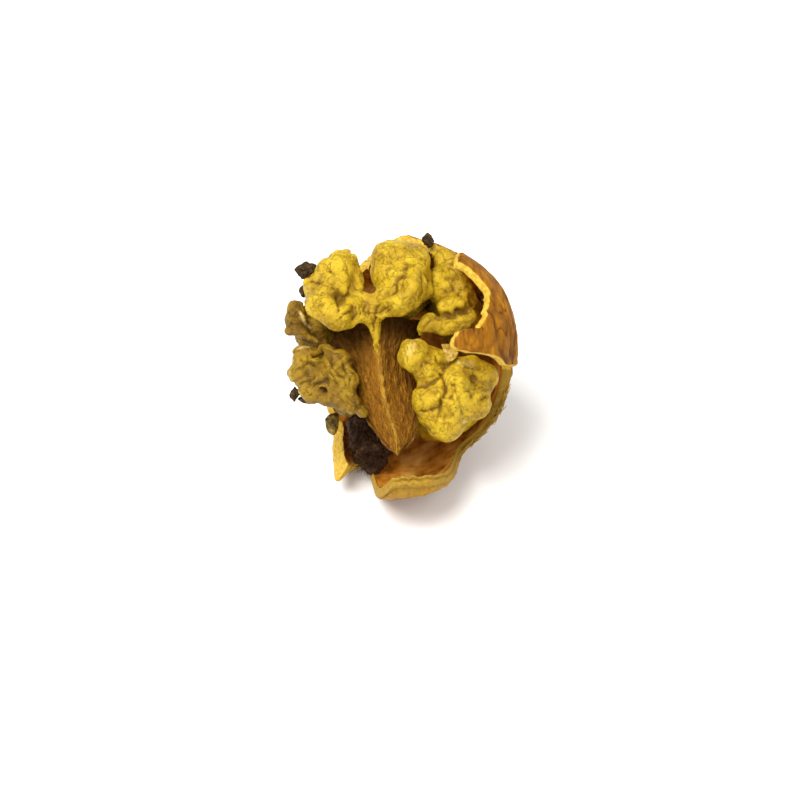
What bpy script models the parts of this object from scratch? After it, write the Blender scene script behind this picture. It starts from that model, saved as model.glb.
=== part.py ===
"""Cracked walnut: a broken shell that still holds its lobed kernel and the brown partition.

The nut is laid out in a frame of its own open face, in millimetres: U to the right, V along the
nut's length and W out of the open face. FRAME_TILT leans that face back, and the whole nut then
stands on a small flat under the shell, whose centre is the origin.
"""

import math

import bmesh
import bpy
import numpy as np
from mathutils import Matrix, Vector

MM = 0.001
WHOLE_TURN = 2.0 * math.pi

# Shell: half axes of its outer surface (the depth before and behind the middle plane), how square
# it is (2 is an ellipsoid), its wall, and how deep the resting flat cuts into it
HALF_WIDTH = 18.9
HALF_LENGTH = 20.9
HALF_DEPTH_FRONT = 18.0
HALF_DEPTH_BACK = 22.3
FULLNESS = 2.2
WALL = 1.7
SINK = 1.2
FRAME_TILT = math.radians(50.0)

# The lobes fan out toward the back: places are given on the middle plane and close in by this
# share for each millimetre toward the open face
TAPER = 1.0 / 249.0

# Swellings of the shell's outline: angle round the nut, half width (degrees) and share of radius
SWELLINGS = [(28.0, 20.0, 0.028), (318.0, 30.0, -0.11)]

# Clearance between neighbouring pieces, and voxel size of the soft, lobed pieces
GAP = 0.45
VOXEL = 0.75

# Broken edges: angle round the nut (degrees, 0 right, 90 top) and height W of the edge
BOWL_EDGE = [
    (0, -5.6), (30, -5.4), (60, -5.3), (63, -2.3), (72, 0.5), (78, -1.7), (90, -5.1), (99, -6.5),
    (106, -9.2), (113, -11.4), (125, -10.8), (150, -9.1), (180, -9.7), (195, -12.0), (205, -14.8),
    (214, -16.3), (224, -13.6), (229, -10.3), (236, -4.1), (240, -8.2), (247, -10.9), (252, -10.9),
    (256, 4.0), (260, 8.5), (266, 10.0), (278, 10.4), (288, 9.0), (295, 3.0), (302, -5.7),
    (310, -8.5), (318, -6.8), (330, -5.9), (345, -5.9),
]
SHARD_EDGE = [
    (60.5, 0.0), (60.3, 8.5), (53.7, 8.2), (45.5, 8.8), (38.0, 9.3), (32.5, 11.4), (28.3, 12.6),
    (22.7, 14.3), (27.9, 16.1), (24.4, 16.6), (20.5, 16.7), (15.5, 16.4), (10.9, 15.3),
    (8.7, 13.7), (6.2, 11.4), (2.0, 7.7), (1.5, 0.0), (2.5, -4.9), (14.0, -4.9), (30.0, -4.8),
    (46.0, -4.7), (59.0, -4.6),
]
SHARD_CENTRE = (27.0, 5.5)

# Lobes of the kernel: U, V, W and radius of each swelling
TOP_HALF = [
    (-10.7, 15.5, 1.5, 4.0), (-11.2, 11.5, 3.5, 4.7), (-9.0, 17.3, 2.5, 2.4),
    (-12.6, 9.7, 7.0, 2.8), (-10.2, 8.8, 7.0, 2.7), (-14.0, 13.6, 2.5, 2.0),
    (-11.0, 10.5, -2.5, 4.4), (-8.0, 14.0, 1.0, 2.4), (-9.8, 13.4, 6.0, 3.0),
    (0.3, 15.4, 2.5, 4.9), (-1.8, 17.5, 2.0, 3.0), (2.7, 17.3, 2.0, 2.9), (3.0, 13.0, 3.0, 2.8),
    (1.8, 12.8, 6.5, 2.7), (-0.6, 10.6, 6.5, 2.6), (0.6, 12.0, -2.5, 4.0), (-2.6, 14.8, 2.5, 2.2),
    (-8.0, 8.6, 4.5, 1.9), (-6.2, 9.6, 4.8, 1.7), (-4.4, 10.0, 5.0, 1.7), (-2.6, 10.0, 5.0, 1.9),
]
RIGHT_LOBE = [
    (9.0, 13.0, 0.5, 3.9), (7.9, 16.4, 0.5, 2.4), (10.6, 10.8, 1.0, 3.0), (8.0, 10.8, 2.0, 2.3),
    (8.0, 10.0, 5.2, 1.3), (9.6, 10.2, 5.2, 1.3), (8.5, 7.2, 4.6, 1.7), (10.6, 8.2, 4.6, 1.7),
    (8.6, 7.6, 2.2, 2.4), (9.2, 9.5, -3.0, 4.0), (6.4, 7.2, 4.2, 1.2), (4.9, 7.2, 4.2, 1.0),
    (6.9, 18.0, -0.5, 1.8),
]
LOWER_RIGHT_LOBE = [
    (2.4, 2.1, 6.0, 3.2), (4.6, 0.0, 5.5, 3.0), (4.4, -4.5, 6.0, 3.1), (8.2, -4.8, 5.2, 4.2),
    (7.4, -8.8, 5.0, 3.4), (13.0, -1.5, 2.5, 2.6), (11.6, -4.8, 3.5, 3.3), (10.0, 0.0, 4.6, 2.4),
    (8.5, -4.0, -1.5, 5.2), (6.0, -1.0, 0.0, 3.8), (8.0, -5.0, -7.5, 5.6), (6.0, -7.0, -11.0, 5.0),
]
LOWER_LEFT_LOBE = [
    (-15.2, -0.6, 2.6, 2.8), (-15.6, 2.0, 2.0, 2.0), (-14.0, -3.4, 2.6, 2.2),
    (-11.4, -1.6, 3.2, 3.6), (-11.4, -4.0, 3.0, 2.2), (-9.2, -4.4, 3.8, 2.4),
    (-7.8, -6.0, 4.6, 1.5), (-6.8, -6.8, 4.8, 1.1), (-9.8, 1.0, 3.2, 2.2),
    (-11.5, -2.0, -2.0, 3.6), (-10.5, -3.5, -7.0, 4.0), (-8.0, -5.5, -11.5, 4.4),
]
SIDE_LOBE = [
    (-16.6, 9.4, 1.0, 1.6), (-16.8, 8.0, 1.0, 1.6), (-16.4, 6.6, 0.6, 1.3), (-15.2, 5.5, 0.8, 1.2),
    (-15.2, 8.6, -1.4, 2.0),
]
PACKING = [
    (-8.3, -10.5, -9.0, 2.4), (-6.6, -12.0, -9.0, 2.4), (-5.2, -12.4, -9.5, 2.2),
    (-7.6, -12.6, -8.4, 1.8), (-4.4, -10.2, -10.0, 2.6), (-6.0, -9.0, -10.0, 2.8),
]

# Stations down the partition: left edge, ridge, right edge and root behind, each U, V and W
PARTITION_STATIONS = [
    [(-13.4, 5.8, -3.5), (-3.8, 8.6, 2.0), (5.0, 7.6, -2.0), (-3.0, 5.0, -10.0)],
    [(-11.0, 3.2, -1.5), (-3.6, 4.0, 4.5), (3.0, 4.8, 0.0), (-3.0, 2.0, -13.0)],
    [(-8.6, -0.3, 0.0), (-3.2, 0.0, 6.4), (1.4, 0.4, 1.5), (-3.0, -2.0, -14.0)],
    [(-7.4, -3.2, 1.5), (-2.7, -4.0, 7.6), (2.2, -3.8, 3.0), (-2.6, -6.0, -13.0)],
    [(-5.6, -7.6, 3.0), (-1.6, -8.0, 8.6), (2.7, -7.7, 4.5), (-1.5, -9.0, -7.0)],
    [(-3.2, -11.2, 5.4), (-0.6, -11.4, 9.4), (2.2, -10.9, 6.2), (-0.5, -11.2, 2.5)],
]
PARTITION_TIP = (-0.4, -14.0, 8.4)

# Thin scraps: outline (U, V), height W at the middle and thickness
FLAKE_OUTLINE = [(6.6, 4.0), (8.0, 3.9), (9.3, 2.7), (8.5, 1.4), (7.6, 1.3), (7.0, 2.6)]
FLAKE_HEIGHT = 9.6
HUSK_OUTLINE = [(-12.0, -8.0), (-11.2, -7.2), (-9.9, -7.2), (-9.9, -9.4), (-10.6, -10.6), (-11.7, -9.8)]
HUSK_HEIGHT = -1.6
SCRAP_THICKNESS = 0.5

# Dried crumbs caught on the nut: name, place and half sizes along U, V and W
CRUMBS = [
    ("dried_crumb_upper_left", (-15.6, 15.9, 0.6), (1.5, 1.2, 1.1)),
    ("dried_crumb_left", (-16.3, 12.1, 0.8), (0.7, 0.9, 0.8)),
    ("dried_crumb_top", (4.9, 20.9, 0.6), (0.8, 1.1, 0.8)),
    ("dried_crumb_lower_left", (-14.3, -4.9, 0.0), (1.6, 0.8, 0.9)),
    ("dried_crumb_low", (-16.8, -4.2, 0.8), (0.7, 1.0, 0.8)),
]

# Colours (linear), roughness
SHELL_COLOUR = (0.26, 0.12, 0.022)
KERNEL_COLOUR = (0.62, 0.40, 0.055)
PARTITION_COLOUR = (0.22, 0.085, 0.012)
PACKING_COLOUR = (0.045, 0.02, 0.008)
SCRAP_COLOUR = (0.55, 0.42, 0.16)
CRUMB_COLOUR = (0.05, 0.022, 0.006)


def clear_scene():
    for item in list(bpy.data.objects):
        bpy.data.objects.remove(item, do_unlink=True)


def collection(name):
    made = bpy.data.collections.new(name)
    bpy.context.scene.collection.children.link(made)
    return made


def material(name, colour, roughness):
    made = bpy.data.materials.new(name)
    made.use_nodes = True
    shader = made.node_tree.nodes["Principled BSDF"]
    shader.inputs["Base Color"].default_value = (*colour, 1.0)
    shader.inputs["Roughness"].default_value = roughness
    return made


def place(u, v, w):
    """A place given on the middle plane, closed in toward the open face, in metres."""
    share = 1.0 - TAPER * w
    return Vector((u * share, v * share, w)) * MM


def outline_share(angle):
    """How far the shell's outline swells or shrinks at an angle round the nut, in degrees."""
    share = 1.0
    for middle, width, amount in SWELLINGS:
        off = (angle - middle + 180.0) % 360.0 - 180.0
        share += amount * math.exp(-((off / width) ** 2))
    return share


def squareness(direction):
    """How far a unit direction reaches on the rounded-square ball of radius 1."""
    return sum(abs(part) ** FULLNESS for part in direction) ** (-1.0 / FULLNESS)


def shell_point(direction):
    """Point in metres where a unit direction of the stretched frame meets the shell."""
    reach = squareness(direction)
    swell = reach * outline_share(math.degrees(math.atan2(direction.y, direction.x)))
    depth = HALF_DEPTH_FRONT if direction.z > 0.0 else HALF_DEPTH_BACK
    return Vector((
        direction.x * swell * HALF_WIDTH,
        direction.y * swell * HALF_LENGTH,
        direction.z * reach * depth,
    )) * MM


def edge_direction(angle, height):
    """Unit direction of the point of the shell at an angle round the nut and a height W."""
    turn = math.radians(angle)
    rise = height / (HALF_DEPTH_FRONT if height > 0.0 else HALF_DEPTH_BACK)
    sine = rise
    for _ in range(4):
        level = math.sqrt(max(0.0, 1.0 - sine * sine))
        direction = Vector((math.cos(turn) * level, math.sin(turn) * level, sine))
        sine = min(0.999, max(-0.999, rise / squareness(direction)))
    return direction


def new_object(name, mesh_builder, finish, target):
    mesh = bpy.data.meshes.new(name)
    mesh_builder.to_mesh(mesh)
    mesh_builder.free()
    made = bpy.data.objects.new(name, mesh)
    target.objects.link(made)
    if finish is not None:
        mesh.materials.append(finish)
        mesh.shade_smooth()
    return made


def shell_patch(name, centre, edge, segments, rings, finish, target, inner=WALL, outer=0.0, spread=1.0):
    """A piece of shell: half a sphere whose rim is drawn out to the broken edge round a centre.

    Its wall reaches inner and outer millimetres to each side of the shell's outer surface, and
    spread widens it past its broken edge, by a share of the way out to it.
    """
    to_centre = centre.to_track_quat("Z", "Y").to_matrix()
    bearings = []
    for angle, height in edge:
        local = to_centre.inverted() @ edge_direction(angle, height)
        reach = math.acos(max(-1.0, min(1.0, local.z)))
        bearings.append((math.atan2(local.y, local.x) % WHOLE_TURN, reach))
    bearings.sort()
    turns = [turn for turn, _ in bearings]
    reaches = [reach for _, reach in bearings]
    built = bmesh.new()
    bmesh.ops.create_uvsphere(built, u_segments=segments, v_segments=2 * rings, radius=1.0)
    spare = [vert for vert in built.verts if vert.co.z < -0.001]
    bmesh.ops.delete(built, geom=spare, context="VERTS")
    for vert in built.verts:
        share = math.acos(max(-1.0, min(1.0, vert.co.z))) / (0.5 * math.pi)
        turn = math.atan2(vert.co.y, vert.co.x) % WHOLE_TURN
        reach = spread * share * float(np.interp(turn, turns, reaches, period=WHOLE_TURN))
        local = Vector((math.cos(turn) * math.sin(reach), math.sin(turn) * math.sin(reach), math.cos(reach)))
        vert.co = shell_point(to_centre @ local)
    made = new_object(name, built, finish, target)
    wall = made.modifiers.new("Wall", "SOLIDIFY")
    wall.thickness = (inner + outer) * MM
    wall.offset = (outer - inner) / (outer + inner)
    return made


def blob_mesh(blobs, grow):
    built = bmesh.new()
    for u, v, w, radius in blobs:
        middle = Matrix.Translation(place(u, v, w))
        bmesh.ops.create_icosphere(built, subdivisions=3, radius=(radius + grow) * MM, matrix=middle)
    return built


def fuse(made, label):
    """Turn overlapping or cut shapes into one even skin."""
    skin = made.modifiers.new(label, "REMESH")
    skin.mode = "VOXEL"
    skin.voxel_size = VOXEL * MM
    skin.use_smooth_shade = True


def lobe(name, blobs, grow, finish, target):
    """Soft lobed piece: overlapping swellings fused by a voxel remesh."""
    made = new_object(name, blob_mesh(blobs, grow), finish, target)
    fuse(made, "Fuse swellings")
    return made


def cut(made, cutter, label):
    """Take a cutter's shape out of a piece."""
    trim = made.modifiers.new(label, "BOOLEAN")
    trim.operation = "DIFFERENCE"
    trim.solver = "EXACT"
    trim.object = cutter


def round_off(made, ratio):
    """Smooth the cut edges of a soft piece and keep a share of its triangles."""
    fuse(made, "Even skin")
    soften = made.modifiers.new("Soften", "SMOOTH")
    soften.factor = 0.5
    soften.iterations = 3
    fewer = made.modifiers.new("Thin out", "DECIMATE")
    fewer.ratio = ratio


def hide_cutter(cutter):
    cutter.hide_render = True
    cutter.display_type = "WIRE"


def partition(name, finish, target):
    """The woody partition: a ridged blade lofted through its stations and closed to a tip."""
    built = bmesh.new()
    rings = [[built.verts.new(place(*corner)) for corner in station] for station in PARTITION_STATIONS]
    for upper, lower in zip(rings, rings[1:]):
        for index in range(len(upper)):
            after = (index + 1) % len(upper)
            built.faces.new((upper[index], lower[index], lower[after], upper[after]))
    built.faces.new(rings[0])
    tip = built.verts.new(place(*PARTITION_TIP))
    last = rings[-1]
    for index in range(len(last)):
        after = (index + 1) % len(last)
        built.faces.new((last[index], tip, last[after]))
    bmesh.ops.recalc_face_normals(built, faces=built.faces)
    return new_object(name, built, finish, target)


def scrap(name, outline, height, finish, target):
    """A thin scrap: a flat outline given its thickness."""
    built = bmesh.new()
    corners = [built.verts.new(place(u, v, height)) for u, v in outline]
    face = built.faces.new(corners)
    if face.normal.z < 0.0:
        face.normal_flip()
    made = new_object(name, built, finish, target)
    wall = made.modifiers.new("Thickness", "SOLIDIFY")
    wall.thickness = SCRAP_THICKNESS * MM
    return made


def crumb(name, middle, half_sizes, finish, target):
    """A dried crumb: a stretched ball with uneven facets."""
    built = bmesh.new()
    bmesh.ops.create_icosphere(built, subdivisions=2, radius=1.0)
    for vert in built.verts:
        ripple = 1.0 + 0.12 * math.sin(5.0 * vert.co.x + 3.0 * vert.co.y) * math.cos(4.0 * vert.co.z)
        size = Vector(half_sizes) * MM * ripple
        vert.co = Vector((vert.co.x * size.x, vert.co.y * size.y, vert.co.z * size.z)) + place(*middle)
    return new_object(name, built, finish, target)


def lowest_point():
    """Lowest point of the whole shell surface in the leaned frame, in metres."""
    lean = Matrix.Rotation(FRAME_TILT, 3, "X")
    lowest = Vector((0.0, 0.0, 1.0))
    for step in range(181):
        slant = math.radians(step)
        direction = Vector((0.0, -math.sin(slant), -math.cos(slant)))
        point = lean @ shell_point(direction)
        if point.z < lowest.z:
            lowest = point
    return lowest


def floor_cutter(frame, target):
    """Block below the surface the nut stands on, in the nut's frame."""
    half = 0.04
    built = bmesh.new()
    bmesh.ops.create_cube(built, size=2.0 * half)
    made = new_object("floor_cutter", built, None, target)
    made.location = (0.0, 0.0, -half)
    hide_cutter(made)
    return made


def stand_frame():
    """Empty that leans the open face back and lifts the nut onto its flat."""
    frame = bpy.data.objects.new("nut_frame", None)
    bpy.context.scene.collection.objects.link(frame)
    low = lowest_point()
    frame.rotation_euler = (FRAME_TILT, 0.0, 0.0)
    frame.location = (0.0, -low.y, -low.z - SINK * MM)
    return frame


def main():
    clear_scene()
    parts = collection("cracked_walnut")
    cutters = collection("cutters")
    frame = stand_frame()

    shell = material("dry_walnut_shell", SHELL_COLOUR, 0.55)
    kernel = material("walnut_kernel_skin", KERNEL_COLOUR, 0.5)
    woody = material("walnut_partition", PARTITION_COLOUR, 0.6)
    fibre = material("dried_packing_fibre", PACKING_COLOUR, 0.85)
    pale = material("pale_kernel_skin", SCRAP_COLOUR, 0.45)
    dried = material("dried_husk", CRUMB_COLOUR, 0.85)

    back = Vector((0.0, 0.0, -1.0))
    side = edge_direction(*SHARD_CENTRE)
    bowl = shell_patch("shell_bowl", back, BOWL_EDGE, 80, 9, shell, parts)
    shell_patch("shell_shard", side, SHARD_EDGE, 48, 6, shell, parts)
    room = {"inner": WALL + 2.0 * GAP, "outer": 2.0 * WALL, "spread": 1.03}
    clear_bowl = shell_patch("bowl_clearance", back, BOWL_EDGE, 80, 9, None, cutters, **room)
    clear_shard = shell_patch("shard_clearance", side, SHARD_EDGE, 48, 6, None, cutters, **room)

    top_half = lobe("kernel_top_half", TOP_HALF, 0.0, kernel, parts)
    right = lobe("kernel_right_lobe", RIGHT_LOBE, 0.0, kernel, parts)
    lower_right = lobe("kernel_lower_right_lobe", LOWER_RIGHT_LOBE, 0.0, kernel, parts)
    lower_left = lobe("kernel_lower_left_lobe", LOWER_LEFT_LOBE, 0.0, kernel, parts)
    side_lobe = lobe("kernel_side_lobe", SIDE_LOBE, 0.0, kernel, parts)
    blade = partition("central_partition", woody, parts)
    packing = lobe("inner_packing", PACKING, 0.0, fibre, parts)

    clear_top = lobe("top_half_clearance", TOP_HALF, GAP, None, cutters)
    clear_right = lobe("right_clearance", RIGHT_LOBE, GAP, None, cutters)
    clear_lower_right = lobe("lower_right_clearance", LOWER_RIGHT_LOBE, GAP, None, cutters)
    clear_lower_left = lobe("lower_left_clearance", LOWER_LEFT_LOBE, GAP, None, cutters)

    cuts = [
        (top_half, [clear_bowl]),
        (right, [clear_bowl, clear_shard, clear_top]),
        (lower_right, [clear_bowl, clear_shard, clear_right]),
        (lower_left, [clear_bowl, clear_top]),
        (side_lobe, [clear_bowl, clear_top, clear_lower_left]),
        (blade, [clear_bowl, clear_top, clear_right, clear_lower_right, clear_lower_left]),
        (packing, [clear_bowl, clear_lower_left]),
    ]
    for piece, neighbours in cuts:
        for neighbour in neighbours:
            cut(piece, neighbour, "Clear of " + neighbour.name)
    for piece, share in ((top_half, 0.25), (right, 0.3), (lower_right, 0.3), (lower_left, 0.35),
                         (side_lobe, 0.5), (blade, 0.4), (packing, 0.45)):
        round_off(piece, share)

    scrap("skin_flake", FLAKE_OUTLINE, FLAKE_HEIGHT, pale, parts)
    scrap("husk_chip", HUSK_OUTLINE, HUSK_HEIGHT, pale, parts)
    neighbours = (clear_bowl, clear_top, clear_lower_left)
    for name, middle, half_sizes in CRUMBS:
        bit = crumb(name, middle, half_sizes, dried, parts)
        for neighbour in neighbours:
            cut(bit, neighbour, "Clear of " + neighbour.name)

    for item in list(parts.objects) + list(cutters.objects):
        item.parent = frame
    for cutter in cutters.objects:
        hide_cutter(cutter)
    cut(bowl, floor_cutter(frame, cutters), "Resting flat")


main()
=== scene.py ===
import math

import bpy
import numpy as np
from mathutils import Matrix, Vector


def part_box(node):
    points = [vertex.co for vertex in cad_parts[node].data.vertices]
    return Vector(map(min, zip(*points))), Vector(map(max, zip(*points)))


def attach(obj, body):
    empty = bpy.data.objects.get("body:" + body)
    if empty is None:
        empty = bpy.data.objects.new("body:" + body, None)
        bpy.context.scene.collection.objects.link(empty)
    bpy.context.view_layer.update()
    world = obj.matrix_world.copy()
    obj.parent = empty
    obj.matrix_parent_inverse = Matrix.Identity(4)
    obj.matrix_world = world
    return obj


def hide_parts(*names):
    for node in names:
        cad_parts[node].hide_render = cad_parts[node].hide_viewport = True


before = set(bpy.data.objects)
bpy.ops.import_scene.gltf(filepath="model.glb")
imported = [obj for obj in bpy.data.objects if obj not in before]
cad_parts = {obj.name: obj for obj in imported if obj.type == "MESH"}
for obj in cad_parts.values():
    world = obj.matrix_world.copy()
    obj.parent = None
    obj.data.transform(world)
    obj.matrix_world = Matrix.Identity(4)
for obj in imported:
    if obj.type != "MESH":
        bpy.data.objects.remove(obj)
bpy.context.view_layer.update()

print("frame loaded, nodes:", len(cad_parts))

mm = 0.001
wholeTurn = 2.0 * math.pi

# The nut's own frame: U right, V along the nut, W out of the open face, in mm

nut = {
    "halfWidth": 18.9,  # half axes of the shell's outer surface
    "halfLength": 20.9,
    "depthFront": 18.0,
    "depthBack": 22.3,
    "fullness": 2.2,  # 2 is an ellipsoid, more is squarer
    "swellings": ((28.0, 20.0, 0.028), (318.0, 30.0, -0.11)),  # angle, half width, share
    "wall": 1.7,
    "sink": 1.2,  # how deep the resting flat cuts into the shell
    "lean": math.radians(50.0),
    "viewDistance": 249.0,
    "meanRadius": 20.0,  # turns an angle from the middle into mm along the shell
}


def smooth(value, low, high):
    # 0 below low, 1 above high, an S curve between
    share = np.clip((value - low) / (high - low), 0.0, 1.0)
    return share * share * (3.0 - 2.0 * share)


def outlineShare(angle):
    # 1 plus a bell curve round each swelling's angle
    share = np.ones_like(angle)
    for middle, width, amount in nut["swellings"]:
        off = (angle - middle + 180.0) % 360.0 - 180.0
        share = share + amount * np.exp(-((off / width) ** 2))
    return share


def squareness(direction):
    # reach of a unit direction on the rounded-square ball: (sum |part|^p)^(-1/p)
    return (np.abs(direction) ** nut["fullness"]).sum(-1) ** (-1.0 / nut["fullness"])


def halfAxes(direction):
    # the three half axes that hold in a direction, swollen round the nut's outline
    angle = np.degrees(np.arctan2(direction[..., 1], direction[..., 0]))
    share = outlineShare(angle)
    depth = np.where(direction[..., 2] > 0.0, nut["depthFront"], nut["depthBack"])
    return np.stack([share * nut["halfWidth"], share * nut["halfLength"], depth], -1)


def shellPoint(direction):
    # where a unit direction of the stretched frame meets the shell's outer surface
    return direction * squareness(direction)[..., None] * halfAxes(direction)


def shellNormal(direction):
    # gradient of (sum |x/a|^p): sign(x) |x/a|^(p-1) / a, made a unit vector
    normal = np.sign(direction) * np.abs(direction) ** (nut["fullness"] - 1.0) / halfAxes(direction)
    return normal / np.linalg.norm(normal, axis=-1, keepdims=True)


def edgeDirection(angle, height):
    # unit direction of the point of the shell at an angle round the nut and a height W
    turn = np.radians(angle)
    rise = height / np.where(height > 0.0, nut["depthFront"], nut["depthBack"])
    sine = rise
    for _ in range(4):
        level = np.sqrt(np.maximum(0.0, 1.0 - sine * sine))
        direction = np.stack([np.cos(turn) * level, np.sin(turn) * level, sine], -1)
        sine = np.clip(rise / squareness(direction), -0.999, 0.999)
    return direction


def insideShell(points):
    # depth under the outer surface, negative inside: (reach - 1) / size of its gradient
    axes = halfAxes(points)
    power = nut["fullness"]
    part = np.abs(points / axes)
    reach = np.maximum((part ** power).sum(-1), 1e-9) ** (1.0 / power)
    slope = np.linalg.norm(part ** (power - 1.0) / axes, axis=-1) * reach ** (1.0 - power)
    return (reach - 1.0) / np.maximum(slope, 1e-6)


leanCos, leanSin = math.cos(nut["lean"]), math.sin(nut["lean"])


def leaned(points):
    # turned about X by the lean
    u, v, w = points[..., 0], points[..., 1], points[..., 2]
    return np.stack([u, v * leanCos - w * leanSin, v * leanSin + w * leanCos], -1)


slant = np.radians(np.arange(181.0))
hull = leaned(shellPoint(np.stack([0.0 * slant, -np.sin(slant), -np.cos(slant)], -1)))
lowest = hull[hull[:, 2].argmin()]
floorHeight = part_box("shell_bowl")[0].z / mm
nutOrigin = np.array([0.0, -lowest[1], floorHeight - lowest[2] - nut["sink"]])


def placed(points):
    # nut frame in mm to row frame in metres
    return (leaned(points) + nutOrigin) * mm


def closedIn(points):
    # places given on the middle plane close in toward the open face
    share = 1.0 - points[..., 2:3] / nut["viewDistance"]
    return np.concatenate([points[..., :2] * share, points[..., 2:3]], -1)


lattice = np.random.default_rng(11).uniform(-1.0, 1.0, (32, 32, 32))
twist = np.array([[0.36, 0.48, -0.8], [-0.8, 0.6, 0.0], [0.48, 0.64, 0.6]])


def noise(points, size, octaves=2, shift=0.0):
    # smooth lattice noise from -1 to 1, each octave half the size and half the height
    total, weight, share = 0.0, 0.0, 1.0
    spot = points / size + shift
    for _ in range(octaves):
        spot = spot @ twist.T + 3.7
        cell = np.floor(spot).astype(int)
        part = spot - cell
        part = part ** 3 * (part * (part * 6.0 - 15.0) + 10.0)
        cell &= 31
        after = (cell + 1) & 31
        x, y, z = part[..., 0], part[..., 1], part[..., 2]
        value = 0.0
        for i, wx in ((cell[..., 0], 1 - x), (after[..., 0], x)):
            for j, wy in ((cell[..., 1], 1 - y), (after[..., 1], y)):
                for k, wz in ((cell[..., 2], 1 - z), (after[..., 2], z)):
                    value = value + lattice[i, j, k] * wx * wy * wz
        total = total + share * value
        weight += share
        share *= 0.5
        spot = spot * 2.0
    return total / weight * 1.6


def threads(points, size, width, shift=0.0):
    # 1 on the lines where the noise passes through zero, falling to 0 beside them
    return np.exp(-((noise(points, size, 2, shift) / width) ** 2))


def meshNormals(points, faces):
    # area-weighted vertex normals of a mesh of quads and triangles (given as repeated corners)
    cross = np.cross(points[faces[:, 2]] - points[faces[:, 0]], points[faces[:, 3]] - points[faces[:, 1]])
    normals = np.stack([
        np.bincount(faces.ravel(), np.repeat(cross[:, axis], 4), len(points)) for axis in range(3)
    ], -1)
    return normals / np.maximum(np.linalg.norm(normals, axis=-1, keepdims=True), 1e-12)


def neighbourMean(values, faces, rounds):
    # each value replaced by the mean over the faces round it, several times
    pairs = np.stack([faces, np.roll(faces, -1, 1)], -1).reshape(-1, 2)
    both = np.concatenate([pairs, pairs[:, ::-1]])
    both = both[both[:, 0] != both[:, 1]]
    count = np.maximum(np.bincount(both[:, 0], minlength=len(values)), 1)
    for _ in range(rounds):
        values = np.stack([
            np.bincount(both[:, 0], values[both[:, 1], axis], len(values)) / count
            for axis in range(values.shape[1])
        ], -1)
    return values


def cavity(points, normals, faces, rounds):
    # how far a vertex lies below the smoothed surface: positive in creases, in mm
    return ((neighbourMean(points, faces, rounds) - points) * normals).sum(-1)


def addPiece(name, points, faces, finish, nodes, marks=None, uv=None):
    # a mesh object from placed points (metres); a triangle is a quad whose last corner repeats
    corners = [quad if quad[2] != quad[3] else quad[:3] for quad in faces.tolist()]
    mesh = bpy.data.meshes.new(name)
    mesh.from_pydata(points.tolist(), [], corners)
    for label, values in (marks or {}).items():
        mesh.attributes.new(label, "FLOAT", "POINT").data.foreach_set("value", values.astype(np.float32))
    if uv is not None:
        loops = np.zeros(len(mesh.loops), np.int32)
        mesh.loops.foreach_get("vertex_index", loops)
        mesh.uv_layers.new(name="grain").data.foreach_set("uv", uv[loops].astype(np.float32).ravel())
    mesh.materials.append(finish)
    mesh.shade_smooth()
    mesh.update()
    piece = bpy.data.objects.new(name, mesh)
    bpy.context.scene.collection.objects.link(piece)
    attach(piece, "root")
    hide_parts(*nodes)
    print("made", name, len(points), "points")
    return piece


def surfaceNet(values, low, step):
    # closed quad mesh of the zero level of a grid of values: one point in each cell that the
    # surface crosses, at the mean of its edge crossings, and one quad round each crossed edge
    inside = values < 0.0
    shape = np.array(values.shape)
    corners = [(i, j, k) for i in (0, 1) for j in (0, 1) for k in (0, 1)]
    count = sum(
        inside[i:i + shape[0] - 1, j:j + shape[1] - 1, k:k + shape[2] - 1].astype(np.int8)
        for i, j, k in corners
    )
    partly = (count > 0) & (count < 8)
    cells = np.argwhere(partly)
    number = np.full(partly.shape, -1)
    number[partly] = np.arange(len(cells))
    total = np.zeros(cells.shape)
    crossings = np.zeros(len(cells))
    for start in corners:
        for axis in range(3):
            if start[axis]:
                continue
            end = np.array(start)
            end[axis] = 1
            first = values[tuple((cells + start).T)]
            second = values[tuple((cells + end).T)]
            crossed = (first < 0.0) != (second < 0.0)
            spot = np.tile(np.array(start, float), (len(cells), 1))
            spot[:, axis] = np.where(crossed, first / np.where(crossed, first - second, 1.0), 0.0)
            total += spot * crossed[:, None]
            crossings += crossed
    points = low + step * (cells + total / crossings[:, None])
    quads = []
    for axis in range(3):
        one, two = (axis + 1) % 3, (axis + 2) % 3
        first = np.moveaxis(inside, axis, 0)[:-1]
        second = np.moveaxis(inside, axis, 0)[1:]
        crossed = np.moveaxis(first != second, 0, axis)
        leaving = np.moveaxis(first & ~second, 0, axis)
        spots = np.argwhere(crossed)
        keep = (spots[:, one] > 0) & (spots[:, one] < shape[one] - 1)
        keep &= (spots[:, two] > 0) & (spots[:, two] < shape[two] - 1)
        spots = spots[keep]
        ring = []
        for stepOne, stepTwo in ((-1, -1), (0, -1), (0, 0), (-1, 0)):
            cell = spots.copy()
            cell[:, one] += stepOne
            cell[:, two] += stepTwo
            ring.append(number[tuple(cell.T)])
        ring = np.stack(ring, -1)
        outward = leaving[tuple(spots.T)]
        quads.append(np.where(outward[:, None], ring, ring[:, ::-1]))
    return points, np.concatenate(quads)


def gridFaces(rows, columns, closed=True):
    # quads between the rows and columns of a grid, with the columns joined round when closed
    number = np.arange(rows * columns).reshape(rows, columns)
    if closed:
        number = np.concatenate([number, number[:, :1]], 1)
    return np.stack([number[:-1, :-1], number[:-1, 1:], number[1:, 1:], number[1:, :-1]], -1).reshape(-1, 4)


def fan(tip, ring, outward):
    # triangles from a tip to a closed ring
    after = np.roll(ring, -1)
    tips = np.full(len(ring), tip)
    order = [tips, ring, after, after] if outward else [tips, after, ring, ring]
    return np.stack(order, -1)


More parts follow.
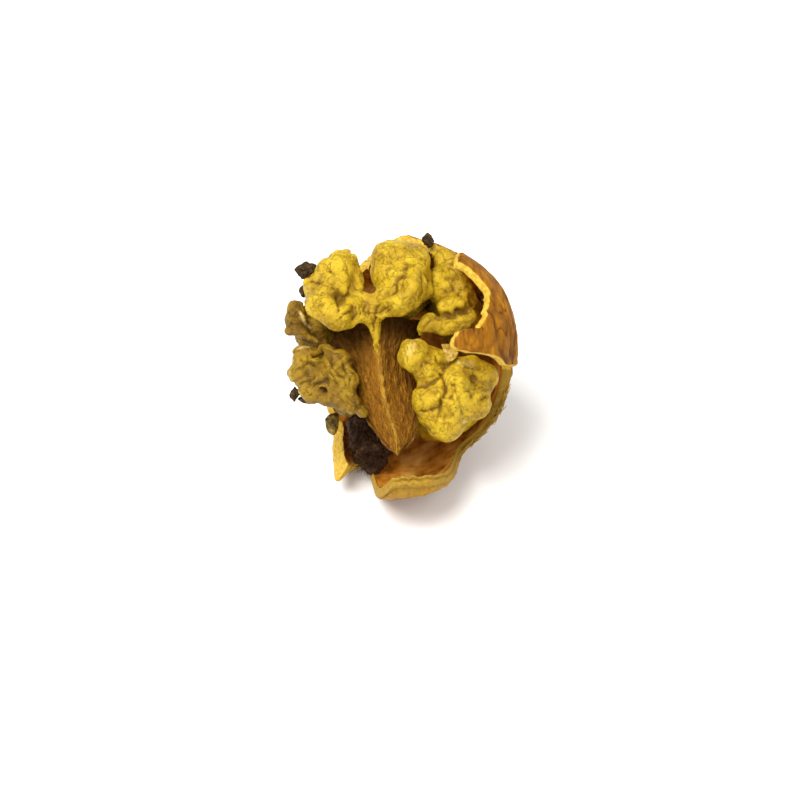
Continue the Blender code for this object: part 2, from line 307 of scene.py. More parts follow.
def facedOutward(points, faces):
    # the faces, turned over when the volume inside them (sum of corner triple products) is negative
    a, b, c, d = (points[faces[:, i]] for i in range(4))
    if (np.cross(a, b) * c).sum() + (np.cross(a, c) * d).sum() > 0.0:
        return faces
    faces = faces[:, ::-1]
    return np.where(faces[:, :1] == faces[:, 1:2], np.roll(faces, -2, 1), faces)


def strandSkin(start, way, lift, look, chance):
    # thin bent tubes: each middle line is start + way * length * t + up * length * bend * sin(pi t),
    # with up square to the way on the lift's side, and each radius the full one times 1 - 0.7 t
    way = way / np.linalg.norm(way, axis=-1, keepdims=True)
    side = np.cross(way, lift)
    side /= np.linalg.norm(side, axis=-1, keepdims=True)
    up = np.cross(side, way)
    length = chance.uniform(*look["length"], len(start))[:, None, None]
    t = np.linspace(0.0, 1.0, look["rows"])[None, :, None]
    line = start[:, None] + length * (way[:, None] * t + up[:, None] * look["bend"] * np.sin(math.pi * t))
    around = np.linspace(0.0, wholeTurn, look["sides"] + 1)[:-1, None]
    ring = side[:, None] * np.cos(around) + up[:, None] * np.sin(around)
    rows = line[:, :, None] + ring[:, None] * (look["radius"] * (1.0 - 0.7 * t))[..., None]
    single = look["rows"] * look["sides"]
    tube = np.concatenate([rows.reshape(len(start), single, 3), line[:, :1], line[:, -1:]], 1)
    faces = np.concatenate([
        gridFaces(look["rows"], look["sides"]), fan(single, np.arange(look["sides"]), False),
        fan(single + 1, single - look["sides"] + np.arange(look["sides"]), True)])
    faces = (faces[None] + (single + 2) * np.arange(len(start))[:, None, None]).reshape(-1, 4)
    return tube.reshape(-1, 3), facedOutward(tube.reshape(-1, 3), faces)


def curvePoints(points, count):
    # Catmull-Rom curve through given points, evenly spaced in its parameter
    points = np.array(points, float)
    padded = np.concatenate([2 * points[:1] - points[1:2], points, 2 * points[-1:] - points[-2:-1]])
    spot = np.linspace(0.0, len(points) - 1.0, count)
    index = np.minimum(spot.astype(int), len(points) - 2)
    t = (spot - index).reshape((-1,) + (1,) * (points.ndim - 1))
    a, b, c, d = padded[index], padded[index + 1], padded[index + 2], padded[index + 3]
    square = 2 * a - 5 * b + 4 * c - d
    cube = 3 * b - a - 3 * c + d
    return 0.5 * (2 * b + (c - a) * t + square * t ** 2 + cube * t ** 3)


def strokeGap(points, line):
    # distance to a smooth line, and a share that fades out over the line's last fifths
    path = curvePoints(line, 4 * len(line))
    ends = path[1:] - path[:-1]
    best = np.full(len(points), 1e9)
    along = np.zeros(len(points))
    for index in range(len(ends)):
        off = points - path[index]
        length = max(float(ends[index] @ ends[index]), 1e-9)
        share = np.clip(off @ ends[index] / length, 0.0, 1.0)
        gap = np.linalg.norm(off - share[:, None] * ends[index], axis=-1)
        nearer = gap < best
        best = np.where(nearer, gap, best)
        along = np.where(nearer, (index + share) / len(ends), along)
    fade = np.clip(5.0 * along + 0.35, 0.0, 1.0) * np.clip(5.0 * (1.0 - along) + 0.35, 0.0, 1.0)
    return best, fade


def strokeShare(points, line, width):
    # exp(-(distance/width)^2), with the line's fade
    gap, fade = strokeGap(points, line)
    return np.exp(-((gap / width) ** 2)) * fade


def toLinear(hexColour):
    # sRGB hex to linear, with alpha 1
    parts = [int(hexColour[i:i + 2], 16) / 255.0 for i in (1, 3, 5)]
    return tuple(c / 12.92 if c <= 0.04045 else ((c + 0.055) / 1.055) ** 2.4 for c in parts) + (1.0,)


def addNode(tree, kind, inputs=None, stops=None, **settings):
    # a node with its settings, its ramp stops, and its inputs set or linked
    node = tree.nodes.new(kind)
    for key, value in settings.items():
        setattr(node, key, value)
    for key, value in (inputs or {}).items():
        if isinstance(value, bpy.types.NodeSocket):
            tree.links.new(value, node.inputs[key])
        else:
            node.inputs[key].default_value = value
    for index, (position, shade) in enumerate(stops or ()):
        elements = node.color_ramp.elements
        element = elements[index] if index < len(elements) else elements.new(position)
        element.position = position
        element.color = toLinear(shade) if isinstance(shade, str) else (shade,) * 3 + (1.0,)
    return node


def newMaterial(name):
    # a material, its node tree and its shader
    made = bpy.data.materials.new(name)
    made.use_nodes = True
    return made, made.node_tree, made.node_tree.nodes["Principled BSDF"]


def grain(tree, sizeMm, stretch=(1.0, 1.0, 1.0), detail=3.0, source="Object", rough=0.55, swirl=0.0):
    # noise whose features are sizeMm across, drawn out along an axis by its stretch, or swirled
    coords = addNode(tree, "ShaderNodeTexCoord")
    scale = tuple(1.0 / (mm * sizeMm * part) for part in stretch) if source == "Object" else stretch
    mapping = addNode(tree, "ShaderNodeMapping", {"Vector": coords.outputs[source], "Scale": scale})
    return addNode(tree, "ShaderNodeTexNoise", {
        "Vector": mapping.outputs[0], "Scale": 1.0,
        "Detail": detail, "Roughness": rough, "Distortion": swirl,
    }).outputs[0]


def lined(tree, value, width):
    # 1 where a noise passes its middle, 0 beyond width
    off = addNode(tree, "ShaderNodeMath", {0: value, 1: 0.5}, operation="SUBTRACT")
    size = addNode(tree, "ShaderNodeMath", {0: off.outputs[0]}, operation="ABSOLUTE")
    return ranged(tree, size.outputs[0], 0.0, width, 0.0, 1.0)


def ranged(tree, value, low, high, top=1.0, bottom=0.0):
    # bottom at low to top at high
    return addNode(tree, "ShaderNodeMapRange", {
        "Value": value, "From Min": low, "From Max": high, "To Min": bottom, "To Max": top,
    }).outputs[0]


def mixed(tree, share, first, second):
    # first where the share is 0, second where it is 1
    inputs = {"Fac": share, "Color1": first, "Color2": second}
    inputs = {key: toLinear(value) if isinstance(value, str) else value for key, value in inputs.items()}
    return addNode(tree, "ShaderNodeMixRGB", inputs).outputs[0]


def marked(tree, label):
    # a value kept at the mesh's points
    return addNode(tree, "ShaderNodeAttribute", attribute_name=label).outputs["Fac"]


def bumped(tree, shader, height, depthMm):
    # relief too fine for the mesh, depthMm high
    bump = addNode(tree, "ShaderNodeBump", {"Height": height, "Distance": depthMm * mm})
    tree.links.new(bump.outputs[0], shader.inputs["Normal"])


def kernelSkin(name, light, middle, dark, crease):
    # Walnut kernel, its thin dried skin (testa) grown tight over the lobes: satin, a little oily,
    # yellow with brown mottling and fine branching veins; painted shade browns the creases and a
    # painted highlight lightens the ridges, both from the cavity mark
    made, tree, shader = newMaterial(name)
    patches = grain(tree, 3.2, detail=5.0)
    base = addNode(tree, "ShaderNodeValToRGB", {"Fac": patches},
                   [(0.34, dark), (0.5, middle), (0.68, light)]).outputs[0]
    fine = grain(tree, 0.9, detail=6.0, rough=0.68, swirl=2.5)
    base = mixed(tree, ranged(tree, fine, 0.52, 0.7, 0.55), base, crease)
    veins = lined(tree, grain(tree, 2.4, detail=6.0, rough=0.62, swirl=0.6), 0.022)
    base = mixed(tree, ranged(tree, veins, 0.0, 1.0, 0.55), base, crease)
    hollow = marked(tree, "cavity")
    # painted highlight: the light colour laid on ridges, where the cavity mark is negative
    base = mixed(tree, ranged(tree, hollow, -0.03, -0.2, 0.4), base, light)
    # painted shade: the crease brown laid into the creases, where the cavity mark is positive
    base = mixed(tree, ranged(tree, hollow, 0.03, 0.26, 0.8), base, crease)
    specks = grain(tree, 0.6, detail=1.0)
    base = mixed(tree, ranged(tree, specks, 0.74, 0.77, 0.8), base, "#2A1804")
    # pale patches and edges from the pale mark; on the lower right lobe's bulb the pale stroke is a painted
    # highlight
    pale = marked(tree, "pale")
    base = mixed(tree, ranged(tree, pale, 0.1, 0.9, 0.85), base, "#E6CC85")
    tree.links.new(base, shader.inputs["Base Color"])
    tree.links.new(ranged(tree, fine, 0.3, 0.7, 0.52, 0.34), shader.inputs["Roughness"])
    shader.inputs["IOR"].default_value = 1.45
    shader.inputs["Specular IOR Level"].default_value = 0.22
    height = addNode(tree, "ShaderNodeMath", {0: veins, 1: -0.4, 2: fine}, operation="MULTIPLY_ADD")
    bumped(tree, shader, height.outputs[0], 0.16)
    return made


def walnutShell():
    # Walnut shell, dry wood as grown and then cracked: outside golden brown with darker furrows
    # and fine streaks lengthwise, torn faces pale and fibrous, inside smooth, dark and glossy
    made, tree, shader = newMaterial("walnutShellAsCracked")
    layer = marked(tree, "layer")
    furrow = marked(tree, "furrow")
    streaks = grain(tree, 1.1, (1.0, 3.5, 2.5), 5.0)
    outside = addNode(tree, "ShaderNodeValToRGB", {"Fac": streaks},
                      [(0.3, "#5E3802"), (0.46, "#865202"), (0.6, "#A46C06"), (0.76, "#C09018")]).outputs[0]
    blotches = grain(tree, 7.0, detail=3.0)
    outside = mixed(tree, ranged(tree, blotches, 0.45, 0.65, 0.5), outside, "#7E4C0A")
    outside = mixed(tree, ranged(tree, furrow, 0.1, 1.0, 0.75), outside, "#4A2A06")
    fibres = grain(tree, 0.5, (1.0, 1.0, 1.0), 4.0)
    torn = addNode(tree, "ShaderNodeValToRGB", {"Fac": fibres},
                   [(0.3, "#A48024"), (0.5, "#C69E34"), (0.7, "#DAB950")]).outputs[0]
    torn = mixed(tree, ranged(tree, marked(tree, "tone"), 0.0, 1.0, 0.8), torn, "#7A5A1A")
    stains = grain(tree, 2.4, detail=4.0)
    inside = addNode(tree, "ShaderNodeValToRGB", {"Fac": stains},
                     [(0.3, "#8C5412"), (0.5, "#D4882C"), (0.7, "#F0B860")]).outputs[0]
    base = mixed(tree, ranged(tree, layer, 0.0, 0.6), outside, torn)
    base = mixed(tree, ranged(tree, layer, 1.35, 2.0), base, inside)
    tree.links.new(base, shader.inputs["Base Color"])
    tree.links.new(ranged(tree, layer, 1.2, 2.0, 0.26, 0.7), shader.inputs["Roughness"])
    shader.inputs["IOR"].default_value = 1.5
    shader.inputs["Specular IOR Level"].default_value = 0.14
    bumped(tree, shader, mixed(tree, 0.5, streaks, fibres), 0.12)
    return made


def woodyPartition():
    # Dried partition wood, thin and felted: silky brown fibres that sweep down to the tip, pale on
    # the ridge, with painted shade, almost black, deep in the corners and at the top under the lobes
    made, tree, shader = newMaterial("driedPartitionFelted")
    strands = grain(tree, 1.0, (72.0, 16.0, 1.0), 5.0, "UV", 0.7)
    waves = grain(tree, 1.0, (16.0, 3.0, 1.0), 3.0, "UV")
    base = addNode(tree, "ShaderNodeValToRGB", {"Fac": strands},
                   [(0.34, "#4A2804"), (0.47, "#7C4C08"), (0.57, "#9A6A10"), (0.68, "#C4922A")]).outputs[0]
    base = mixed(tree, ranged(tree, waves, 0.45, 0.7, 0.5), base, "#80500E")
    crest = marked(tree, "crest")
    base = mixed(tree, ranged(tree, crest, 0.3, 1.0, 0.6), base, "#B0862C")
    # painted shade: near black laid where the shade mark says, at the blade's top and flank edges
    base = mixed(tree, ranged(tree, marked(tree, "shade"), 0.0, 1.0, 0.8), base, "#341B06")
    tree.links.new(base, shader.inputs["Base Color"])
    shader.inputs["Roughness"].default_value = 0.7
    shader.inputs["Specular IOR Level"].default_value = 0.15
    bumped(tree, shader, strands, 0.16)
    return made


def plainDried(name, shades, roughness, sizeMm, depthMm):
    # Dried husk and fibre: dull and crumbly, mottled at the size of its grains
    made, tree, shader = newMaterial(name)
    grains = grain(tree, sizeMm, detail=5.0, rough=0.65)
    base = addNode(tree, "ShaderNodeValToRGB", {"Fac": grains},
                   [(0.35, shades[0]), (0.52, shades[1]), (0.72, shades[2])]).outputs[0]
    tree.links.new(base, shader.inputs["Base Color"])
    shader.inputs["Roughness"].default_value = roughness
    shader.inputs["Specular IOR Level"].default_value = 0.2
    bumped(tree, shader, grains, depthMm)
    return made


shellFinish = walnutShell()
kernelFinish = kernelSkin("kernelSkinSatin", "#C9A922", "#B69318", "#977510", "#593706")
shrivelledFinish = kernelSkin("kernelSkinShrivelled", "#9E7E16", "#84620E", "#664808", "#3B2506")
partitionFinish = woodyPartition()
packingFinish = plainDried("packingFibreDried", ("#1A0E05", "#38210D", "#6A4820"), 0.7, 0.5, 0.1)
flakeFinish = plainDried("kernelSkinFlakeDry", ("#7E621C", "#A88630", "#C8AA54"), 0.4, 0.6, 0.05)
huskFinish = plainDried("greenHuskDried", ("#3A2C0C", "#6B5520", "#94803A"), 0.6, 0.7, 0.08)
crumbFinish = plainDried("blackHuskDried", ("#181004", "#38260C", "#64481C"), 0.75, 0.5, 0.12)
print("materials made")


bowl = {
    "centre": (0.0, 0.0, -1.0),
    "edge": (
        (0, -5.6), (30, -5.4), (60, -5.3), (63, -2.3), (72, 0.5), (78, -1.7), (90, -5.1), (99, -6.5),
        (106, -9.2), (113, -11.4), (125, -12.0), (150, -13.0), (180, -14.6), (195, -15.8), (205, -16.4),
        (214, -16.3), (224, -14.4), (232, -9.0), (238.5, -3.4), (241.5, -9.0), (246, -12.4), (252, -12.0),
        (256.5, -6.0), (258.5, 0.0), (261, 6.0), (265, 9.6), (271, 9.8), (277, 9.2), (286, 8.2),
        (292, 5.5), (297, 1.5), (303, -4.5),
        (310, -8.5), (318, -6.8), (330, -5.9), (345, -5.9),
    ),
    "around": 360.0,  # how far the edge goes round the nut, degrees
    "columns": 460, "outerRows": 120, "faceRows": 10, "innerRows": 58,
    "rounding": 8, "jag": 0.35,  # how ragged the broken edge is, mm
    "thinner": 0.0,  # how much thinner than the plain wall, mm
    "tone": 1.0,  # how olive the torn face is at the lip and on the right
    "splinters": {
        "from": 304.0, "to": 352.0, "count": 90, "length": (0.8, 2.8), "radius": 0.11, "bend": 0.06,
        "rows": 6, "sides": 5,
    },
}
shard = {
    "centre": (8.0, 0.0),  # angle round the nut and height W
    "edge": (
        (60.5, 0.0), (60.3, 8.5), (53.7, 8.2), (45.5, 8.8), (38.0, 9.3), (32.5, 11.4), (28.3, 12.8),
        (24.4, 13.9), (30.4, 16.0), (26.6, 16.6), (24.6, 16.7), (17.1, 16.5), (12.1, 15.5),
        (9.6, 14.1), (6.8, 12.0), (2.0, 8.8), (1.5, 0.0), (2.5, -4.9), (14.0, -4.9), (30.0, -4.8),
        (46.0, -4.7), (59.0, -4.6),
    ),
    "around": 0.0,
    "columns": 460, "outerRows": 90, "faceRows": 10, "innerRows": 60,
    "rounding": 10, "jag": 0.22, "thinner": 0.4, "tone": 0.0,
}


def wallAt(angle, height):
    # wall thickness round the nut: thicker at the spur, the lip and the strip on the right
    spur = smooth(angle, 216.0, 224.0) * (1.0 - smooth(angle, 240.0, 246.0))
    lip = smooth(angle, 256.0, 266.0) * (1.0 - smooth(angle, 300.0, 312.0)) * smooth(height, -4.0, 6.0)
    strip = smooth(angle, 305.0, 330.0) * smooth(height, -12.0, -6.0)
    return nut["wall"] + 1.5 * spur - 0.25 * lip - 0.2 * strip


outside = {
    "lengthwise": 0.42,  # how much slower the pattern runs along the nut
    "wideNet": 4.6, "fineNet": 2.4,  # size of the furrows' meshes, mm
    "furrowDepth": 0.42,
    "foldSize": 5.5, "foldHeight": 0.24,
    "grainSize": 1.1, "grainHeight": 0.07,
    "seamAt": -5.0, "seamWidth": 1.7, "seamHeight": 0.45,
    "pointHeight": 0.9,  # the small point at the nut's end
}


def outerRelief(points, angle, height):
    # height of the outside over the plain shell: shallow lengthwise folds, a net of furrows and the
    # raised seam; and the furrows alone, for the colour
    look = outside
    drawn = points * np.array([1.0, look["lengthwise"], 1.0])
    furrow = threads(drawn, look["wideNet"], 0.12, 5.0) + 0.7 * threads(drawn, look["fineNet"], 0.1, 9.0)
    furrow = np.clip(furrow, 0.0, 1.0) * smooth(noise(points, 9.0, 2, 2.0), -0.5, 0.3)
    folds = look["foldHeight"] * noise(drawn, look["foldSize"], 3, 1.0)
    folds = folds + look["grainHeight"] * noise(points, look["grainSize"], 2, 4.0)
    low = smooth(angle, 245.0, 258.0) * (1.0 - smooth(angle, 298.0, 310.0))
    off = (height - look["seamAt"]) / look["seamWidth"]
    seam = look["seamHeight"] * (1.0 - low) * np.exp(-(off ** 2))
    point = look["pointHeight"] * np.exp(-(((angle - 90.0) / 7.0) ** 2 + ((height + 4.0) / 3.0) ** 2))
    return folds + seam + point - look["furrowDepth"] * furrow, furrow


lip = {
    "lumpHeight": 0.32, "lumpBelow": 3.4, "lumpWidth": 1.5,  # the bulge under the lip's edge, mm
    "grooveDepth": 0.45, "grooveBelow": 1.4, "grooveWidth": 0.4,
    "edgeDepth": 0.25, "edgeWidth": 0.25,  # how the outside rounds off at the break
    "crackDepth": 0.9, "crackWidth": 0.11,  # between the wall's two layers
    "paleShare": 0.5, "paleReach": 6.0,
}


edgeSteps = 12  # points on each straight run of a broken edge


def shellSkin(look):
    # a closed skin: rows run from the pole outside, over the broken face at the rim, and back to
    # the pole inside; columns run round the patch, evenly along its rim
    if len(look["centre"]) == 2:
        centre = edgeDirection(np.array(look["centre"][0]), np.array(look["centre"][1]))
    else:
        centre = np.array(look["centre"])
    turnMatrix = np.array(Vector(centre).to_track_quat("Z", "Y").to_matrix())
    edge = np.array(look["edge"], float)
    after = np.roll(edge, -1, 0) + np.array([[0.0, 0.0]] * (len(edge) - 1) + [[look["around"], 0.0]])
    share = np.linspace(0.0, 1.0, edgeSteps + 1)[:-1, None]
    edge = (edge[:, None] + (after - edge)[:, None] * share).reshape(-1, 2)
    local = edgeDirection(edge[:, 0], edge[:, 1]) @ turnMatrix
    bearing = np.arctan2(local[:, 1], local[:, 0]) % wholeTurn
    order = bearing.argsort()

    def reachAt(turn):
        # angle from the patch's pole to its edge
        reaches = np.arccos(np.clip(local[order, 2], -1.0, 1.0))
        return np.interp(turn, bearing[order], reaches, period=wholeTurn)

    def outward(turn, reach):
        # unit direction at a bearing and an angle from the pole
        ray = np.stack([np.cos(turn) * np.sin(reach), np.sin(turn) * np.sin(reach), np.cos(reach)], -1)
        return ray @ turnMatrix.T

    turns = np.linspace(0.0, wholeTurn, 4001)
    rim = shellPoint(outward(turns, reachAt(turns)))
    length = np.concatenate([[0.0], np.linalg.norm(np.diff(rim, axis=0), axis=1).cumsum()])
    spread = 0.7 * length / length[-1] + 0.3 * turns / wholeTurn
    turns = np.interp(np.arange(look["columns"]) / look["columns"], spread, turns)
    rim = shellPoint(outward(turns, reachAt(turns)))
    reachHere = reachAt(turns)
    for _ in range(look["rounding"]):
        reachHere = 0.5 * reachHere + 0.25 * (np.roll(reachHere, 1) + np.roll(reachHere, -1))
    jag = 0.7 * noise(rim, 2.6, 3, 7.0) + 0.5 * noise(rim, 0.9, 2, 3.0)
    reach = reachHere + look["jag"] * jag / nut["meanRadius"]

    def onShell(shares):
        # points, normals, angles and heights of rows at shares of the reach
        directions = outward(turns[None, :], reach[None, :] * shares[:, None])
        points = shellPoint(directions)
        angle = np.degrees(np.arctan2(points[..., 1], points[..., 0])) % 360.0
        return points, shellNormal(directions), angle, points[..., 2]

    # outside
    shares = np.linspace(0.0, 1.0, look["outerRows"] + 1)[1:]
    points, normals, angle, height = onShell(shares)
    relief, furrow = outerRelief(points, angle, height)
    below = (1.0 - shares[:, None]) * reach[None, :] * nut["meanRadius"]
    lipShare = smooth(angle, 256.0, 264.0) * (1.0 - smooth(angle, 296.0, 306.0))
    lumps = 1.0 + 0.7 * np.sin(np.radians(angle) * 9.0 + 1.5)
    lump = np.exp(-(((below - lip["lumpBelow"]) / lip["lumpWidth"]) ** 2))
    groove = np.exp(-(((below - lip["grooveBelow"]) / lip["grooveWidth"]) ** 2))
    relief = relief + lipShare * lip["lumpHeight"] * lumps * lump
    relief = relief - lipShare * lip["grooveDepth"] * groove
    relief = relief - lip["edgeDepth"] * np.exp(-((below / lip["edgeWidth"]) ** 2))
    outer = points + normals * relief[..., None]
    # broken face
    rimPoints, rimNormals, wide = outer[-1], normals[-1], angle[-1]
    wall = wallAt(angle[-1], height[-1]) - look["thinner"]
    out = points[-1] - points[-3]
    out = out / np.linalg.norm(out, axis=-1, keepdims=True)
    across = np.linspace(0.0, 1.0, look["faceRows"] + 2)[1:-1]
    face = rimPoints[None] - rimNormals[None] * (across[:, None, None] * wall[None, :, None])
    rough = 0.45 * noise(face, 2.2, 3, 6.0) + 0.16 * noise(face * np.array([1, 1, 2.5]), 0.6, 2, 8.0)
    arch = np.sin(math.pi * across)[:, None]
    rise = 0.25 * arch + 0.4 * rough * arch ** 0.5
    crack = lipShare[-1][None, :] * np.exp(-(((across[:, None] - 0.5) / lip["crackWidth"]) ** 2))
    face = face + out[None] * (rise - lip["crackDepth"] * crack)[..., None]
    # inside
    innerShares = np.linspace(1.0, 0.0, look["innerRows"] + 1)[:-1]
    points, normals, _, _ = onShell(innerShares)
    innerWall = np.where(
        np.arange(len(innerShares))[:, None] < 1, wall[None, :],
        nut["wall"] + (wall[None, :] - nut["wall"]) * np.exp(-(1.0 - innerShares)[:, None] * 6.0))
    veins = threads(points, 5.0, 0.12, 2.5)
    dips = 0.16 * noise(points, 3.2, 3, 9.0) - 0.1 * veins
    inner = points - normals * (innerWall + dips * smooth(1.0 - innerShares, 0.0, 0.08)[:, None])[..., None]

    paleOut = lip["paleShare"] * lipShare * np.exp(-((below / lip["paleReach"]) ** 2))
    layers = np.concatenate([
        np.zeros(len(shares)) + 0.55 * (shares >= 1.0), 0.7 + 0.5 * across, 2.0 * np.ones(len(innerShares))])
    layers[len(shares) + len(across)] = 1.4
    rows = np.concatenate([outer, face, inner])
    layer = np.repeat(layers, look["columns"])
    layer[: paleOut.size] = np.maximum(layer[: paleOut.size], paleOut.ravel())
    furrowAll = np.concatenate([furrow, np.zeros(face.shape[:2]), 0.5 * veins]).ravel()
    furrowAll[len(shares) * look["columns"]:][: face.shape[0] * look["columns"]] = (0.9 * crack).ravel()
    flat = rows.reshape(-1, 3)
    directions = outward(np.zeros(1), np.zeros(1))
    tipOut = shellPoint(directions)
    tipOut = tipOut + shellNormal(directions) * outerRelief(tipOut, np.zeros(1), tipOut[:, 2])[0][:, None]
    tipIn = shellPoint(directions) - shellNormal(directions) * nut["wall"]
    flat = np.concatenate([flat, tipOut, tipIn])
    layer = np.concatenate([layer, [0.0, 2.0]])
    furrowAll = np.concatenate([furrowAll, [0.0, 0.0]])
    right = smooth(wide, 286.0, 312.0)
    tone = right + 0.75 * smooth(wide, 250.0, 262.0) * (1.0 - right)
    tone = np.tile(tone * look["tone"], len(rows))
    tone = np.concatenate([tone, [0.0, 0.0]])
    faces = gridFaces(len(rows), look["columns"])[:, ::-1]
    last = (len(rows) - 1) * look["columns"] + np.arange(look["columns"])
    tips = len(flat) - 2
    faces = np.concatenate([
        faces, fan(tips, np.arange(look["columns"]), True), fan(tips + 1, last, False)])
    marks = {"layer": layer, "furrow": furrowAll, "tone": tone}
    if "splinters" not in look:
        return flat, faces, marks
    # splinters left lying along the torn face of the strip
    splinters = look["splinters"]
    chance = np.random.default_rng(41)
    onStrip = np.flatnonzero((wide > splinters["from"]) & (wide < splinters["to"]))
    spots = chance.choice(onStrip, splinters["count"])
    starts = face[chance.integers(0, 5, len(spots)), spots]
    ways = np.roll(rimPoints, -2, 0)[spots] - np.roll(rimPoints, 2, 0)[spots]
    ways = ways / np.linalg.norm(ways, axis=-1, keepdims=True)
    ways = ways * chance.choice([-1.0, 1.0], (len(spots), 1))
    ways += chance.uniform(0.0, 0.4, (len(spots), 1)) * (out + 0.5 * rimNormals)[spots]
    thin, thinFaces = strandSkin(starts, ways, out[spots], splinters, chance)
    fill = {"layer": 0.9, "furrow": 0.0, "tone": 0.7}
    marks = {key: np.concatenate([value, np.full(len(thin), fill[key])]) for key, value in marks.items()}
    return np.concatenate([flat, thin]), np.concatenate([faces, thinFaces + len(flat)]), marks


def onFloor(points):
    # nothing reaches below the floor: z becomes (z + sqrt(z^2 + e^2)) / 2, almost z away from it
    ease = 0.5 * mm
    height = points[:, 2] - floorHeight * mm
    points[:, 2] = floorHeight * mm + 0.5 * (height + np.sqrt(height * height + ease * ease))
    return points


for name, node, look in (("shellBowl", "shell_bowl", bowl), ("shellShard", "shell_shard", shard)):
    points, faces, marks = shellSkin(look)
    points = onFloor(placed(points))
    addPiece(name, points, facedOutward(points, faces), shellFinish, [node], marks)


def blobField(points, blobs, soft):
    # smooth union of balls: -soft log(sum exp(-(distance - radius) / soft))
    total = np.zeros(points.shape[:-1])
    for u, v, w, radius in blobs:
        total += np.exp(-(np.linalg.norm(points - (u, v, w), axis=-1) - radius) / soft)
    return -soft * np.log(total + 1e-30)


bowlRim = np.array(bowl["edge"], float)  # angle and height W


def roomField(points):
    # negative where a kernel piece may be: inside the shell's wall, and free above its broken edge
    at = closedIn(points)
    depth = insideShell(at) + nut["wall"] + 0.35
    angle = np.degrees(np.arctan2(at[..., 1], at[..., 0])) % 360.0
    rim = np.interp(angle, bowlRim[:, 0], bowlRim[:, 1], period=360.0)
    openShare = 1.0 - smooth(angle, -2.0, 3.0) * (1.0 - smooth(angle, 58.0, 64.0))
    return depth - 2.5 * openShare * np.maximum(0.0, at[..., 2] - rim + 0.3)


kernelRelief = {
    "stray": 0.4,  # how far a crease wanders from its line, mm
    "cutWidth": 0.62, "hollowWidth": 2.1,  # widths of a crease's sharp cut and soft hollow
    "backFold": 1.1,  # depth of the folds on the side away from the open face, mm
    "swell": 0.85, "valley": 0.4, "vein": 0.1, "grain": 0.13,  # shares of the lobe's wrinkle
    "evened": 0.4,  # share of each point taken from its neighbours
    "cavityRounds": 34, "cavityShare": 0.7, "creaseShare": 0.14,  # for the painted shade in the creases and the painted highlight on the ridges
}


def lobeSkin(look):
    # zero level of the lobe's balls, kept inside the shell, then creased, wrinkled and folded
    def field(points):
        made = blobField(points, look["blobs"], look.get("soft", 0.45))
        return made if look.get("loose") else np.maximum(made, roomField(points))

    blobs = np.array(look["blobs"])
    low = (blobs[:, :3] - blobs[:, 3:]).min(0) - 1.0
    high = (blobs[:, :3] + blobs[:, 3:]).max(0) + 1.0
    step = look["step"]
    axes = [np.arange(low[i], high[i] + step, step) for i in range(3)]
    grid = np.stack(np.meshgrid(*axes, indexing="ij"), -1)
    points, faces = surfaceNet(field(grid), low, step)
    for _ in range(2):
        value = field(points)
        slope = np.stack([
            (field(points + 0.02 * axis) - value) / 0.02 for axis in np.eye(3)], -1)
        size = np.maximum((slope * slope).sum(-1), 0.3)
        points = points - np.clip(value / size, -0.1, 0.1)[:, None] * slope
    normals = meshNormals(points, faces)
    front = smooth(normals[:, 2], -0.25, 0.35)
    shift = np.zeros(len(points))
    crease = np.zeros(len(points))
    straying = np.stack([noise(points, 1.7, 2, 5.5), noise(points, 1.7, 2, 8.5)], -1)
    wobble = points[:, :2] + kernelRelief["stray"] * straying
    for line, depth, width in look.get("creases", ()):
        gap, fade = strokeGap(wobble, line)
        cut = np.exp(-((gap / (kernelRelief["cutWidth"] * width)) ** 2)) * fade * front
        hollow = np.exp(-((gap / (kernelRelief["hollowWidth"] * width)) ** 2)) * fade * front
        shift -= depth * (look.get("cut", 0.45) * cut + look.get("dip", 0.32) * hollow)
        crease = np.maximum(crease, cut * min(1.0, depth + 0.2))
    for line, height, width in look.get("ridges", ()):
        shift += height * strokeShare(points[:, :2], line, width) * front
    wrinkle = look.get("wrinkle", 0.3)
    back = 1.0 - 0.75 * front
    shift -= back * kernelRelief["backFold"] * threads(points, 5.0, 0.22, 3.0)
    shift += kernelRelief["swell"] * wrinkle * noise(points, 2.8, 3, 1.3)
    shift -= kernelRelief["valley"] * wrinkle * threads(points, 2.6, 0.3, 6.2)
    shift -= kernelRelief["vein"] * wrinkle * threads(points, 0.9, 0.25, 4.4)
    shift += kernelRelief["grain"] * wrinkle * noise(points, 0.7, 2, 2.2)
    points = points + normals * shift[:, None]
    evened = kernelRelief["evened"]
    points = (1.0 - evened) * points + evened * neighbourMean(points, faces, 1)
    normals = meshNormals(points, faces)
    # the cavity mark: positive in creases, where the kernel skin paints shade, negative on ridges, where it
    # paints a highlight
    hollow = kernelRelief["cavityShare"] * cavity(points, normals, faces, kernelRelief["cavityRounds"])
    hollow = hollow + kernelRelief["creaseShare"] * crease
    pale = np.zeros(len(points))
    for line, strength, width in look.get("pale", ()):
        pale = np.maximum(pale, strength * strokeShare(points[:, :2], line, width) * front)
    return points, faces, {"cavity": hollow, "pale": pale}


